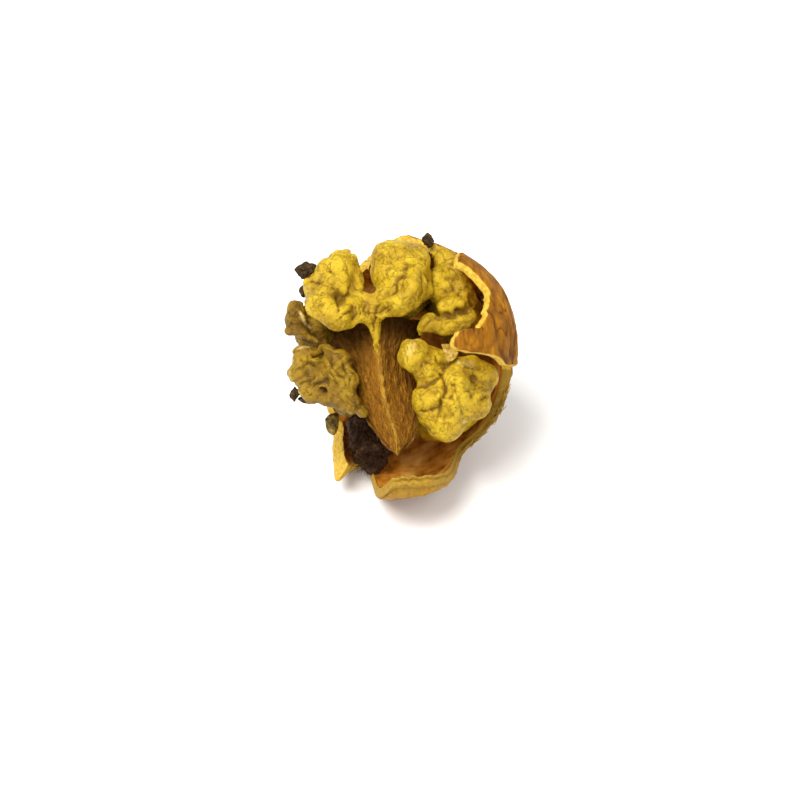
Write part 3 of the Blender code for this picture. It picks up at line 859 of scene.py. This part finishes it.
topHalf = {
    "blobs": (
        (-10.4, 14.9, 1.5, 3.5), (-11.2, 11.8, 3.0, 4.0), (-9.0, 17.2, 2.5, 2.2), (-12.9, 9.9, 6.6, 2.3),
        (-10.3, 8.7, 6.8, 2.7), (-11.9, 11.2, 6.4, 1.9), (-14.2, 13.6, 2.6, 1.25), (-11.0, 10.5, -2.5, 4.4),
        (-8.0, 14.6, 2.4, 2.1), (-10.2, 13.6, 5.0, 2.6), (-11.3, 15.6, 3.9, 2.0), (-7.6, 12.2, 3.4, 1.7),
        (-9.2, 11.6, 4.7, 2.2), (-9.2, 16.2, 4.0, 1.8),
        (0.3, 15.4, 2.3, 4.8), (-1.7, 17.6, 2.4, 2.9), (2.6, 17.4, 2.4, 2.6), (3.4, 13.0, 3.0, 2.3),
        (2.1, 13.6, 6.6, 2.3), (1.3, 12.0, 7.0, 2.5), (-0.6, 10.6, 6.9, 2.4), (0.6, 12.0, -2.5, 4.0),
        (-2.3, 14.6, 3.4, 2.0), (-1.4, 12.8, 4.4, 1.9), (0.2, 17.2, 4.4, 2.4), (0.2, 13.4, 5.4, 2.3),
        (-7.9, 8.0, 5.6, 1.7), (-6.3, 9.4, 5.6, 1.6), (-5.5, 10.7, 5.0, 1.2), (-4.4, 9.4, 5.0, 1.5),
        (-3.4, 10.9, 5.0, 1.3), (-2.6, 10.0, 5.4, 1.7), (-4.2, 7.7, 4.4, 1.1), (-4.0, 6.4, 4.0, 0.85),
        (-3.85, 5.2, 3.8, 0.75), (-3.7, 4.0, 4.1, 0.6), (-3.6, 3.0, 4.4, 0.45),
        (-4.5, 6.9, -6.0, 3.4), (-10.5, 9.6, -7.0, 4.6), (1.4, 12.6, -8.5, 4.2), (-4.4, 7.2, -10.0, 4.0),
        (-9.6, 11.9, 5.3, 1.5), (-5.6, 11.4, 5.0, 0.7), (-3.4, 11.3, 5.2, 0.8), (-4.7, 9.0, 5.9, 0.7),
        (-5.7, 8.5, 5.8, 0.75), (-3.1, 8.7, 6.0, 0.7), (-6.9, 9.6, 6.6, 0.7), (-4.5, 7.9, 5.3, 0.6),
    ),
    "soft": 0.42, "step": 0.17, "wrinkle": 0.26,
    "creases": (
        ([(-14.6, 14.1), (-13.7, 14.0), (-13.0, 13.4)], 0.7, 0.5),
        ([(-9.4, 11.7), (-9.9, 10.8), (-9.8, 10.0), (-9.4, 9.4)], 0.8, 0.5),
        ([(-7.2, 13.9), (-7.8, 12.2), (-8.7, 11.2), (-9.9, 11.7), (-11.0, 12.6)], 0.85, 0.75),
        ([(-7.2, 10.2), (-8.0, 9.1), (-8.4, 8.3)], 0.6, 0.4),
        ([(-9.0, 7.9), (-8.9, 7.6)], 0.8, 0.4),
        ([(-13.4, 12.4), (-12.4, 11.6), (-11.4, 12.2), (-10.6, 13.4)], 0.35, 0.5),
        ([(-12.4, 16.9), (-11.2, 16.3), (-10.2, 15.0), (-9.8, 14.0)], 0.45, 0.45),
        ([(-9.4, 18.2), (-8.6, 17.0), (-8.2, 15.8)], 0.4, 0.4),
        ([(-14.4, 10.4), (-13.0, 10.0), (-12.0, 10.4)], 0.35, 0.4),
        ([(-2.6, 15.2), (-1.2, 16.2), (0.3, 16.5), (1.7, 16.4)], 0.45, 0.6),
        ([(0.2, 15.8), (-0.3, 14.6), (-0.9, 13.3), (-1.9, 12.1), (-2.9, 11.5)], 1.25, 0.7),
        ([(3.4, 15.6), (4.2, 14.2), (4.1, 12.6), (3.3, 10.9)], 0.7, 0.6),
        ([(4.9, 14.6), (4.2, 14.4), (3.6, 14.6)], 0.4, 0.4),
        ([(1.8, 20.4), (1.9, 19.3)], 0.3, 0.4),
        ([(-3.5, 11.0), (-3.6, 9.2), (-4.0, 7.4), (-4.1, 5.6)], 0.8, 0.35),
        ([(-4.7, 10.6), (-4.7, 9.0), (-4.6, 7.4), (-4.3, 6.0)], 0.6, 0.32),
        ([(-5.3, 10.9), (-5.4, 9.4), (-5.2, 8.0)], 0.6, 0.35),
        ([(-6.1, 10.6), (-6.4, 9.4), (-6.4, 8.2)], 0.6, 0.35),
        ([(-7.0, 10.4), (-7.3, 9.0), (-7.5, 7.9)], 0.6, 0.4),
        ([(-2.4, 10.6), (-2.8, 9.4), (-3.2, 8.4)], 0.6, 0.35),
        ([(-1.5, 10.3), (-2.0, 9.3), (-2.2, 8.6)], 0.5, 0.35),
    ),
    "ridges": (
        ([(-6.5, 15.0), (-6.3, 13.4), (-6.8, 11.6), (-7.9, 10.4), (-9.0, 9.4)], 0.5, 0.6),
        ([(4.1, 18.0), (2.0, 17.5), (0.0, 17.1), (-1.4, 16.6)], 0.22, 0.35),
        ([(-2.1, 14.9), (-2.0, 14.7)], 0.4, 0.8),
        ([(2.3, 14.4), (1.7, 12.8), (0.5, 11.3), (-0.9, 10.4)], 0.6, 1.3),
    ),
}
rightLobe = {
    "blobs": (
        (8.6, 13.2, 0.6, 3.3), (7.9, 16.2, 0.7, 2.2), (10.0, 10.8, 1.0, 2.4), (8.0, 10.8, 2.0, 2.1),
        (7.2, 9.9, 4.9, 1.2), (8.6, 10.2, 5.1, 1.3), (10.0, 10.6, 4.9, 1.2), (7.3, 6.7, 4.6, 1.5),
        (9.0, 7.3, 4.8, 1.6), (10.9, 8.2, 4.6, 1.5), (8.6, 7.6, 2.2, 2.4), (9.2, 9.5, -3.0, 4.0),
        (8.6, 9.0, -8.0, 4.6), (10.5, 6.0, -4.0, 3.6),
        (3.2, 5.9, 4.3, 0.5), (3.6, 6.7, 4.4, 0.6), (4.1, 7.5, 4.5, 0.7), (4.8, 8.1, 4.5, 0.75),
        (5.3, 7.4, 4.4, 0.6), (4.7, 6.5, 4.2, 0.55), (5.8, 6.6, 3.6, 0.9), (7.0, 17.6, 0.2, 1.9),
        (6.5, 14.6, 0.9, 2.0), (6.4, 12.0, 1.0, 1.8), (9.4, 12.4, 3.2, 1.8), (9.0, 15.0, 2.6, 2.0),
        (9.9, 12.6, 2.6, 1.7), (6.9, 13.0, 2.4, 1.4), (8.2, 11.8, 3.2, 1.6), (9.8, 11.7, 3.4, 1.3),
    ),
    "soft": 0.4, "step": 0.165, "wrinkle": 0.22,
    "creases": (
        ([(7.6, 12.9), (8.4, 12.2), (9.6, 11.9)], 0.4, 0.45),
        ([(6.6, 8.5), (8.2, 8.8), (9.8, 9.2), (11.6, 9.9)], 0.8, 0.45),
        ([(6.6, 14.6), (7.8, 14.4), (8.8, 13.6)], 0.4, 0.5),
        ([(6.4, 17.0), (7.6, 16.6), (9.0, 16.9)], 0.45, 0.4),
        ([(8.0, 13.6), (7.6, 12.6), (6.6, 12.4)], 0.5, 0.4),
        ([(5.2, 8.2), (4.6, 7.4), (4.0, 6.6), (3.7, 6.0)], 0.45, 0.25),
        ([(9.6, 6.4), (9.2, 7.2), (9.6, 8.0)], 0.3, 0.35),
    ),
}
lowerRightLobe = {
    "blobs": (
        (2.2, 2.5, 6.2, 2.9), (4.5, -0.4, 5.6, 2.5), (4.4, -4.6, 5.9, 2.9), (8.2, -4.8, 5.0, 4.0),
        (7.4, -8.6, 5.0, 3.2), (13.1, -1.4, 2.6, 2.9), (11.8, -5.2, 3.4, 3.3), (10.0, 0.0, 4.6, 2.2),
        (8.5, -4.0, -1.5, 5.2), (6.0, -1.0, 0.0, 3.8), (8.0, -5.0, -7.5, 5.6), (6.0, -7.0, -11.0, 5.0),
        (6.6, -1.2, 6.2, 1.7), (5.2, 1.6, 5.0, 1.9), (8.9, -0.9, 6.0, 1.5), (6.6, -4.6, 7.4, 1.7),
        (9.6, -3.0, 6.6, 1.7), (8.4, -6.6, 7.0, 1.9), (10.8, -6.6, 5.2, 2.0), (5.2, -7.4, 5.8, 2.3),
        (11.4, 0.9, 4.2, 1.4), (7.2, 1.6, 4.2, 1.5),
    ),
    "soft": 0.42, "step": 0.19, "wrinkle": 0.26,
    "creases": (
        ([(1.6, -2.6), (3.4, -2.7), (4.9, -2.1), (6.2, -1.3), (7.0, -0.5)], 0.9, 0.5),
        ([(7.3, 0.9), (6.9, -1.0), (7.1, -2.1), (7.4, -3.2), (6.6, -4.5), (6.2, -5.6), (5.9, -7.4)],
         1.0, 0.55),
        ([(8.1, -1.4), (8.9, -2.5), (8.9, -3.2), (8.2, -4.2), (7.8, -5.0)], 0.7, 0.45),
        ([(3.3, -7.1), (4.6, -7.0), (5.9, -6.1), (6.5, -5.0)], 0.6, 0.4),
        ([(10.2, -3.6), (11.2, -3.9), (12.3, -4.7)], 0.55, 0.4),
        ([(8.0, -8.6), (8.6, -7.6), (9.6, -7.0), (10.6, -7.6)], 0.35, 0.4),
        ([(6.4, -9.6), (7.0, -8.6), (7.0, -7.6)], 0.3, 0.35),
        ([(9.4, -4.9), (9.9, -5.9), (11.2, -6.2)], 0.35, 0.35),
        ([(3.6, 0.8), (4.6, 1.1), (5.4, 0.9)], 0.6, 0.45),
        ([(11.8, -0.9), (12.0, -1.6)], 0.25, 0.5),
        ([(12.3, -2.9), (12.4, -3.1)], 0.4, 0.4),
        ([(10.6, -4.6), (10.7, -4.8)], 0.4, 0.4),
        ([(5.9, 2.4), (6.4, 1.4), (6.9, 0.6)], 0.5, 0.45),
        ([(9.6, 1.2), (10.4, 0.6), (11.4, -0.2)], 0.35, 0.3),
        ([(13.2, -5.0), (13.9, -4.6), (14.4, -4.4)], 0.6, 0.45),
    ),
    "ridges": (
        ([(8.4, 1.9), (9.2, 1.7), (9.6, 0.9), (10.6, 0.8), (11.4, 0.3)], 0.35, 0.25),
        ([(11.9, 0.6), (11.2, -0.3), (10.0, -0.4)], 0.25, 0.25),
    ),
    "pale": (
        ([(8.8, 1.4), (10.2, 0.9), (11.4, 0.8), (12.0, 0.2)], 0.32, 0.6),
        # painted highlight on the bulb
        ([(1.2, 3.5), (2.4, 3.1)], 0.36, 2.0),
        ([(10.3, -8.6), (10.3, -8.3)], 0.6, 0.4),
    ),
}
lowerLeftLobe = {
    "blobs": (
        (-15.2, -0.6, 2.4, 2.4), (-15.8, 2.0, 1.6, 1.8), (-14.2, -3.6, 2.4, 2.0), (-14.0, 1.6, 2.2, 1.9),
        (-11.6, -1.4, 3.4, 3.2), (-11.4, -4.0, 3.0, 2.1), (-9.2, -4.4, 4.0, 2.2), (-7.6, -5.8, 4.6, 1.5),
        (-6.6, -6.6, 4.8, 1.05), (-5.8, -7.2, 4.9, 0.7), (-9.6, 1.2, 3.4, 2.0), (-8.4, -1.6, 4.2, 1.9),
        (-11.3, -1.8, -2.0, 3.4),
        (-9.8, -2.4, -7.0, 3.5), (-7.2, -4.2, -11.5, 4.0), (-17.0, -0.6, 2.2, 1.1), (-12.0, 2.8, 3.0, 1.3),
    ),
    "soft": 0.35, "step": 0.168, "wrinkle": 0.22, "cut": 0.6, "dip": 0.2,
    "creases": (
        ([(-14.4, 2.6), (-13.4, 2.7), (-12.8, 2.2)], 1.6, 0.75),
        ([(-13.0, -3.4), (-12.4, -3.8), (-11.8, -3.6)], 1.5, 0.8),
        ([(-14.0, -3.0), (-13.2, -2.2), (-11.9, -2.0), (-10.8, -2.6)], 0.8, 0.5),
        ([(-11.4, 2.4), (-10.6, 0.8), (-9.4, -1.0), (-8.8, -2.6)], 0.45, 0.28),
        ([(-12.6, 1.4), (-11.6, 0.2), (-10.4, -1.4), (-9.8, -3.0)], 0.45, 0.28),
        ([(-10.4, 2.6), (-9.2, 1.0), (-8.2, -1.0), (-7.8, -3.0)], 0.4, 0.26),
        ([(-16.8, 0.6), (-15.4, 0.2), (-14.4, 0.8), (-13.6, 0.2)], 0.6, 0.45),
        ([(-15.8, -2.2), (-14.6, -1.6), (-13.4, -1.0)], 0.5, 0.4),
        ([(-8.6, -4.0), (-7.6, -5.0), (-6.8, -5.8)], 0.4, 0.35),
        ([(-10.0, -4.6), (-8.8, -5.6)], 0.4, 0.35),
    ),
    "ridges": (
        ([(-17.6, 0.4), (-17.4, -1.6), (-16.4, -3.4), (-15.0, -4.8)], 0.3, 0.3),
        ([(-16.6, 3.0), (-15.0, 3.5), (-13.4, 3.7), (-11.8, 3.6), (-10.2, 2.8)], 0.5, 0.35),
        ([(-12.2, 3.4), (-12.0, 2.0), (-11.0, 0.6)], 0.4, 0.3),
    ),
    "pale": (
        ([(-17.7, 0.4), (-17.5, -1.6), (-16.5, -3.4), (-15.1, -4.9)], 0.3, 0.25),
        ([(-16.6, 3.2), (-15.0, 3.6), (-13.4, 3.8)], 0.4, 0.3),
    ),
}
sideLobe = {
    "blobs": (
        (-16.7, 9.6, 0.9, 1.5), (-16.9, 8.0, 1.0, 1.5), (-16.4, 6.6, 0.6, 1.2), (-15.4, 5.6, 0.8, 0.9),
        (-14.2, 4.8, 1.2, 0.7), (-15.2, 8.6, -1.4, 1.9), (-17.9, 6.0, 0.2, 0.8), (-13.2, 4.4, 1.6, 0.6),
        (-14.6, 5.2, -2.6, 2.3), (-13.2, 4.6, -2.6, 2.4), (-13.0, 7.0, -2.0, 2.6),
    ),
    "soft": 0.3, "step": 0.13, "wrinkle": 0.34,
    "creases": (
        ([(-17.9, 9.0), (-16.9, 8.6), (-15.9, 8.9)], 0.4, 0.35),
        ([(-17.6, 7.2), (-16.6, 7.0), (-15.6, 7.2)], 0.4, 0.3),
    ),
    "ridges": (([(-16.2, 9.3), (-15.6, 8.4), (-15.3, 7.5), (-14.3, 6.5)], 0.45, 0.25),),
    "pale": (([(-16.2, 9.3), (-15.6, 8.4), (-15.3, 7.5), (-14.3, 6.5)], 0.8, 0.25),),
}

for name, node, look, finish in (
    ("kernelTopHalf", "kernel_top_half", topHalf, kernelFinish),
    ("kernelRightLobe", "kernel_right_lobe", rightLobe, kernelFinish),
    ("kernelLowerRight", "kernel_lower_right_lobe", lowerRightLobe, kernelFinish),
    ("kernelLowerLeft", "kernel_lower_left_lobe", lowerLeftLobe, shrivelledFinish),
    ("kernelSideLobe", "kernel_side_lobe", sideLobe, shrivelledFinish),
):
    points, faces, marks = lobeSkin(look)
    addPiece(name, placed(closedIn(points)), faces, finish, [node], marks)


partition = {
    "stations": (  # left edge, ridge, right edge and root behind, each U, V and W
        ((-13.4, 5.8, -3.5), (-3.8, 8.6, 2.0), (5.0, 7.6, -2.0), (-3.0, 5.0, -10.0)),
        ((-11.0, 3.2, -1.5), (-3.6, 4.0, 4.5), (3.0, 4.8, 0.0), (-3.0, 2.0, -13.0)),
        ((-8.6, -0.3, 0.0), (-3.2, 0.0, 6.4), (1.4, 0.4, 1.5), (-3.0, -2.0, -14.0)),
        ((-7.4, -3.2, 1.5), (-2.7, -4.0, 7.6), (2.2, -3.8, 3.0), (-2.6, -6.0, -13.0)),
        ((-5.6, -7.6, 3.0), (-1.6, -8.0, 8.6), (2.7, -7.7, 4.5), (-1.5, -9.0, -7.0)),
        ((-3.2, -11.2, 5.4), (-0.6, -11.4, 9.4), (2.2, -10.9, 6.2), (-0.5, -11.2, 2.5)),
    ),
    "tip": (-0.4, -14.0, 8.4),
    "rows": 260, "flank": 80, "rear": 26,
    "ridgeWidth": 0.2,  # share of a flank that is the rounded crest
    "sag": 0.55,  # how hollow the flanks are
    "fibresAcross": 40.0, "fibresAlong": 26.0,  # how many fit a flank and the blade's length
    "fibreHeight": 0.15, "ribHeight": 0.24,
    "bend": 1.2,  # how far the fibres stray sideways, in fibres
    "hairs": {"count": 900, "length": (0.7, 2.0), "radius": 0.045, "bend": 0.12, "rows": 6, "sides": 4},
}


def partitionSkin(look):
    # rows run down the blade to its tip; a row goes left edge, hollow flank, rounded ridge, flank,
    # right edge, root and back, each side a straight run whose height follows share^(1 + sag)
    tip = (look["tip"],) * 4
    rails = curvePoints(np.array(look["stations"] + (tip,)), look["rows"])
    along = np.linspace(0.0, 1.0, look["rows"])
    share = np.linspace(0.0, 1.0, look["flank"] + 1)[:-1]
    left, ridge, right, root = (rails[:, None, i] for i in range(4))
    rise = share ** (1.0 + look["sag"])
    crest = np.exp(-(((1.0 - share) / look["ridgeWidth"]) ** 2))

    def flank(edge):
        run = edge + (ridge - edge) * share[None, :, None]
        run[..., 2] = edge[..., 2] + (ridge - edge)[..., 2] * (rise - 0.07 * crest)[None, :]
        return run

    rearShare = np.linspace(0.0, 1.0, look["rear"] + 1)[:-1][None, :, None]
    rows = np.concatenate([
        flank(left), flank(right)[:, ::-1],
        right + (root - right) * rearShare, root + (left - root) * rearShare,
    ], 1)
    count = rows.shape[1]
    across = np.arange(count) / look["flank"]
    crest = 0.4 * crest + 0.6 * np.exp(-(((1.0 - share) / (0.35 * look["ridgeWidth"])) ** 2))
    crestAll = np.concatenate([crest, crest[::-1], np.zeros(2 * look["rear"])])
    edgeAll = np.concatenate([share, share[::-1], np.zeros(2 * look["rear"])])
    flat = rows.reshape(-1, 3)
    faces = gridFaces(look["rows"], count)
    normals = meshNormals(flat, faces)
    outwardSign = np.sign(normals[count + look["flank"] // 2:: count][:, 2].sum())
    grid = np.stack([
        np.tile(across, look["rows"]) * look["fibresAcross"],
        np.repeat(along, count) * look["fibresAlong"],
        np.zeros(len(flat)),
    ], -1)
    bend = noise(flat, 4.0, 2, 5.0) * look["bend"]
    grid[:, 0] += bend
    fibre = noise(grid, 1.0, 3, 2.0)
    ribs = noise(grid * np.array([0.35, 0.6, 1.0]), 1.0, 2, 6.0)
    taper = np.sin(np.clip(np.repeat(1.0 - along, count) * 12.0, 0.0, 1.0) * math.pi / 2.0)
    raised = look["fibreHeight"] * fibre + look["ribHeight"] * ribs
    flat = flat + normals * (raised * taper)[:, None]
    uv = np.stack([np.tile(across, look["rows"]) + 0.05 * bend, np.repeat(along, count)], -1)
    # painted shade: the top of the blade under the lobes and the edges of the flanks are marked to darken
    # toward near black, and the crest's paleness is cut back where the top is shaded
    topShade = np.repeat(smooth(1.0 - along, 0.62, 1.0), count)
    shade = np.clip(topShade * 0.9 + np.tile(1.0 - smooth(edgeAll, 0.0, 0.3), look["rows"]) * 0.5, 0.0, 1.0)
    crestHere = np.tile(crestAll, look["rows"])
    marks = {"crest": crestHere * (1.0 - 0.4 * topShade), "shade": shade * (1.0 - 0.7 * crestHere)}
    top = flat[:count].mean(0)
    end = flat[-count:].mean(0)
    body = len(flat) - count
    flat = np.concatenate([flat[:body], [top, end]])
    lastRing = body - count + np.arange(count)
    faces = np.concatenate([
        gridFaces(look["rows"] - 1, count), fan(body, np.arange(count), False),
        fan(body + 1, lastRing, True)])
    marks = {key: np.concatenate([value[:body], value[[0, -1]]]) for key, value in marks.items()}
    uv = np.concatenate([uv[:body], uv[[0, -1]]])
    faces = facedOutward(flat, faces)
    # loose fibres lying down the flanks, each coloured like the spot it grows from
    hairs = look["hairs"]
    chance = np.random.default_rng(31)
    spots = chance.integers(4, look["rows"] - 50, hairs["count"]) * count
    spots += chance.integers(2, 2 * look["flank"] - 2, hairs["count"])
    down = flat[spots + 2 * count] - flat[spots - 2 * count]
    aside = np.cross(down, normals[spots]) * chance.normal(size=(len(spots), 1)) * 0.45
    thin, thinFaces = strandSkin(flat[spots], down + aside, normals[spots] * outwardSign, hairs, chance)
    copied = np.repeat(spots, hairs["rows"] * hairs["sides"] + 2)
    faces = np.concatenate([faces, thinFaces + len(flat)])
    marks = {key: np.concatenate([value, value[copied]]) for key, value in marks.items()}
    return np.concatenate([flat, thin]), faces, marks, np.concatenate([uv, uv[copied]])


points, faces, marks, uv = partitionSkin(partition)
points = placed(closedIn(points))
addPiece("partitionBlade", points, faces, partitionFinish, ["central_partition"], marks, uv)


packing = {
    "blobs": (
        (-6.2, -10.5, -9.0, 2.2), (-5.8, -12.0, -9.0, 2.2), (-5.2, -12.4, -9.5, 2.2),
        (-6.4, -13.0, -8.4, 1.5), (-4.4, -10.2, -10.0, 2.6), (-5.6, -9.0, -10.0, 2.6),
        (-6.2, -14.8, -9.4, 1.7), (-4.8, -15.2, -9.8, 1.7), (-3.6, -14.6, -9.8, 1.6),
        (-3.0, -12.6, -8.4, 1.7),
    ),
    "soft": 0.3, "step": 0.16, "wrinkle": 1.0, "loose": True,
}
strands = {
    "low": (-7.0, -15.8, -8.6), "high": (-2.4, -9.2, -6.4),  # where they start, mm
    "count": 260, "length": (1.2, 3.4), "radius": 0.06, "bend": 0.18, "rows": 8, "sides": 5,
}
points, faces, marks = lobeSkin(packing)
chance = np.random.default_rng(23)
starts = chance.uniform(strands["low"], strands["high"], (strands["count"], 3))
ways = chance.normal(size=starts.shape) * np.array([1.0, 1.0, 0.35])
thin, thinFaces = strandSkin(starts, ways, chance.normal(size=starts.shape), strands, chance)
faces = np.concatenate([faces, thinFaces + len(points)])
points = np.concatenate([points, thin])
marks = {key: np.concatenate([value, np.zeros(len(thin))]) for key, value in marks.items()}
addPiece("packingFibre", placed(closedIn(points)), faces, packingFinish, ["inner_packing"], marks)


def scrapSkin(outline, height, curl, thickness, seed):
    # a thin sheet: rings from the middle out to a smooth outline, curled up by curl * share^2 and
    # rumpled, with a top and a bottom face half the thickness to each side
    ring = curvePoints(list(outline) + [outline[0]], 61)[:-1]
    middle = ring.mean(0)
    share = np.linspace(0.0, 1.0, 15)[1:]
    flat = middle + (ring - middle)[None] * share[:, None, None]
    side = (ring - middle)[None, :, 0] / np.abs(ring - middle).max()
    lift = height + curl * share[:, None] ** 2 * (0.4 + 0.6 * side)
    sheet = np.concatenate([flat, lift[..., None]], -1)
    sheet[..., 2] += 0.35 * noise(sheet, 1.3, 3, seed)
    half = 0.5 * thickness * (1.0 - 0.6 * share[:, None] ** 4)
    top = sheet + np.array([0.0, 0.0, 1.0]) * half[..., None]
    bottom = sheet - np.array([0.0, 0.0, 1.0]) * half[..., None]
    rows = np.concatenate([top, bottom[::-1]])
    ends = [[*middle, sheetSide[0, :, 2].mean()] for sheetSide in (top, bottom)]
    points = np.concatenate([rows.reshape(-1, 3), ends])
    count = len(ring)
    tips = len(points) - 2
    last = (len(rows) - 1) * count + np.arange(count)
    faces = np.concatenate([
        gridFaces(len(rows), count), fan(tips, np.arange(count), False), fan(tips + 1, last, True)])
    return points, faces


scraps = (
    ("skinFlake", "skin_flake", flakeFinish,
     ((6.6, 4.0), (8.0, 3.9), (9.3, 2.7), (8.5, 1.4), (7.6, 1.3), (7.0, 2.6)), 6.7, 1.3, 0.3, 3.0),
    ("huskChip", "husk_chip", huskFinish,
     ((-12.0, -8.0), (-11.2, -7.2), (-9.9, -7.2), (-9.9, -9.4), (-10.6, -10.6), (-11.7, -9.8)),
     -1.6, -0.7, 0.45, 8.0),
)
for name, node, finish, outline, height, curl, thickness, seed in scraps:
    points, faces = scrapSkin(outline, height, curl, thickness, seed)
    points = placed(closedIn(points))
    addPiece(name, points, facedOutward(points, faces), finish, [node])


def crumbSkin(middle, halfSizes, seed):
    # a ball of 40 by 24 steps stretched to its half sizes, broken into lumps and pits by noise
    around = np.linspace(0.0, wholeTurn, 41)[:-1]
    down = np.linspace(0.0, math.pi, 25)[1:-1]
    ball = np.stack([
        np.sin(down)[:, None] * np.cos(around), np.sin(down)[:, None] * np.sin(around),
        np.cos(down)[:, None] + 0.0 * around], -1)
    ball = np.concatenate([ball.reshape(-1, 3), [[0, 0, 1.0], [0, 0, -1.0]]])
    swell = 1.05 + 0.5 * noise(ball, 1.2, 3, seed) - 0.25 * threads(ball, 0.9, 0.25, seed)
    points = np.sign(ball) * np.abs(ball) ** 1.25 * swell[:, None] * np.array(halfSizes) + np.array(middle)
    count = len(around)
    last = (len(down) - 1) * count + np.arange(count)
    tips = len(points) - 2
    faces = np.concatenate([
        gridFaces(len(down), count)[:, ::-1], fan(tips, np.arange(count), True), fan(tips + 1, last, False)])
    return points, faces


crumbs = (
    ("crumbUpperLeft", "dried_crumb_upper_left", (-15.2, 15.7, 0.8), (1.6, 1.35, 1.0)),
    ("crumbLeft", "dried_crumb_left", (-15.4, 12.3, 0.9), (0.7, 0.9, 0.8)),
    ("crumbTop", "dried_crumb_top", (4.5, 20.4, 0.8), (0.9, 0.95, 0.8)),
    ("crumbLowerLeft", "dried_crumb_lower_left", (-14.3, -4.9, 0.0), (1.6, 0.8, 0.9)),
    ("crumbLow", "dried_crumb_low", (-16.8, -4.2, 0.8), (0.7, 1.0, 0.8)),
)
for index, (name, node, middle, halfSizes) in enumerate(crumbs):
    points, faces = crumbSkin(middle, halfSizes, 2.0 + index)
    points = placed(closedIn(points))
    addPiece(name, points, facedOutward(points, faces), crumbFinish, [node])


stage = {
    "floor": "#F4F3F1",
    "floorReach": 2.5,  # metres to each side
    "world": "#FFFFFF",
    "worldStrength": 0.72,
    "lights": (  # name, place from the nut's middle in metres, size, power
        ("keyLight", (-0.2, -0.16, 0.52), 0.34, 4.4),
        ("fillLight", (0.4, -0.3, 0.4), 0.5, 1.2),
    ),
    "lens": 70.0,
    "aimBelow": 4.96,  # how far under the nut's middle the camera looks, mm along V
}


def makeStage(look):
    # a level white floor under the nut, a white world, two area lights and the camera
    reach = look["floorReach"]
    low = floorHeight * mm - 0.0001
    corners = [(x * reach, y * reach, low) for x, y in ((-1, -1), (1, -1), (1, 1), (-1, 1))]
    mesh = bpy.data.meshes.new("floor")
    mesh.from_pydata(corners, [], [(0, 1, 2, 3)])
    floor = bpy.data.objects.new("floor", mesh)
    bpy.context.scene.collection.objects.link(floor)
    made, _, shader = newMaterial("paleMattePaper")
    shader.inputs["Base Color"].default_value = toLinear(look["floor"])
    shader.inputs["Roughness"].default_value = 0.8
    mesh.materials.append(made)

    world = bpy.data.worlds.new("studio")
    world.use_nodes = True
    background = world.node_tree.nodes["Background"]
    background.inputs["Color"].default_value = toLinear(look["world"])
    background.inputs["Strength"].default_value = look["worldStrength"]
    bpy.context.scene.world = world
    bpy.context.scene.view_settings.view_transform = "Standard"

    centre = Vector(nutOrigin) * mm
    for name, offset, size, power in look["lights"]:
        data = bpy.data.lights.new(name, "AREA")
        data.size = size
        data.energy = power
        light = bpy.data.objects.new(name, data)
        light.location = centre + Vector(offset)
        light.rotation_euler = Vector(offset).to_track_quat("Z", "Y").to_euler()
        bpy.context.scene.collection.objects.link(light)

    data = bpy.data.cameras.new("camera")
    data.lens = look["lens"]
    data.sensor_width = 36.0
    data.clip_start = 0.01
    camera = bpy.data.objects.new("camera", data)
    eye = Vector(placed(np.array([0.0, 0.0, nut["viewDistance"]])))
    aim = Vector(placed(np.array([0.0, -look["aimBelow"], 0.0])))
    camera.location = eye
    camera.rotation_euler = (aim - eye).to_track_quat("-Z", "Y").to_euler()
    bpy.context.scene.collection.objects.link(camera)
    bpy.context.scene.camera = camera


makeStage(stage)
print("stage made")
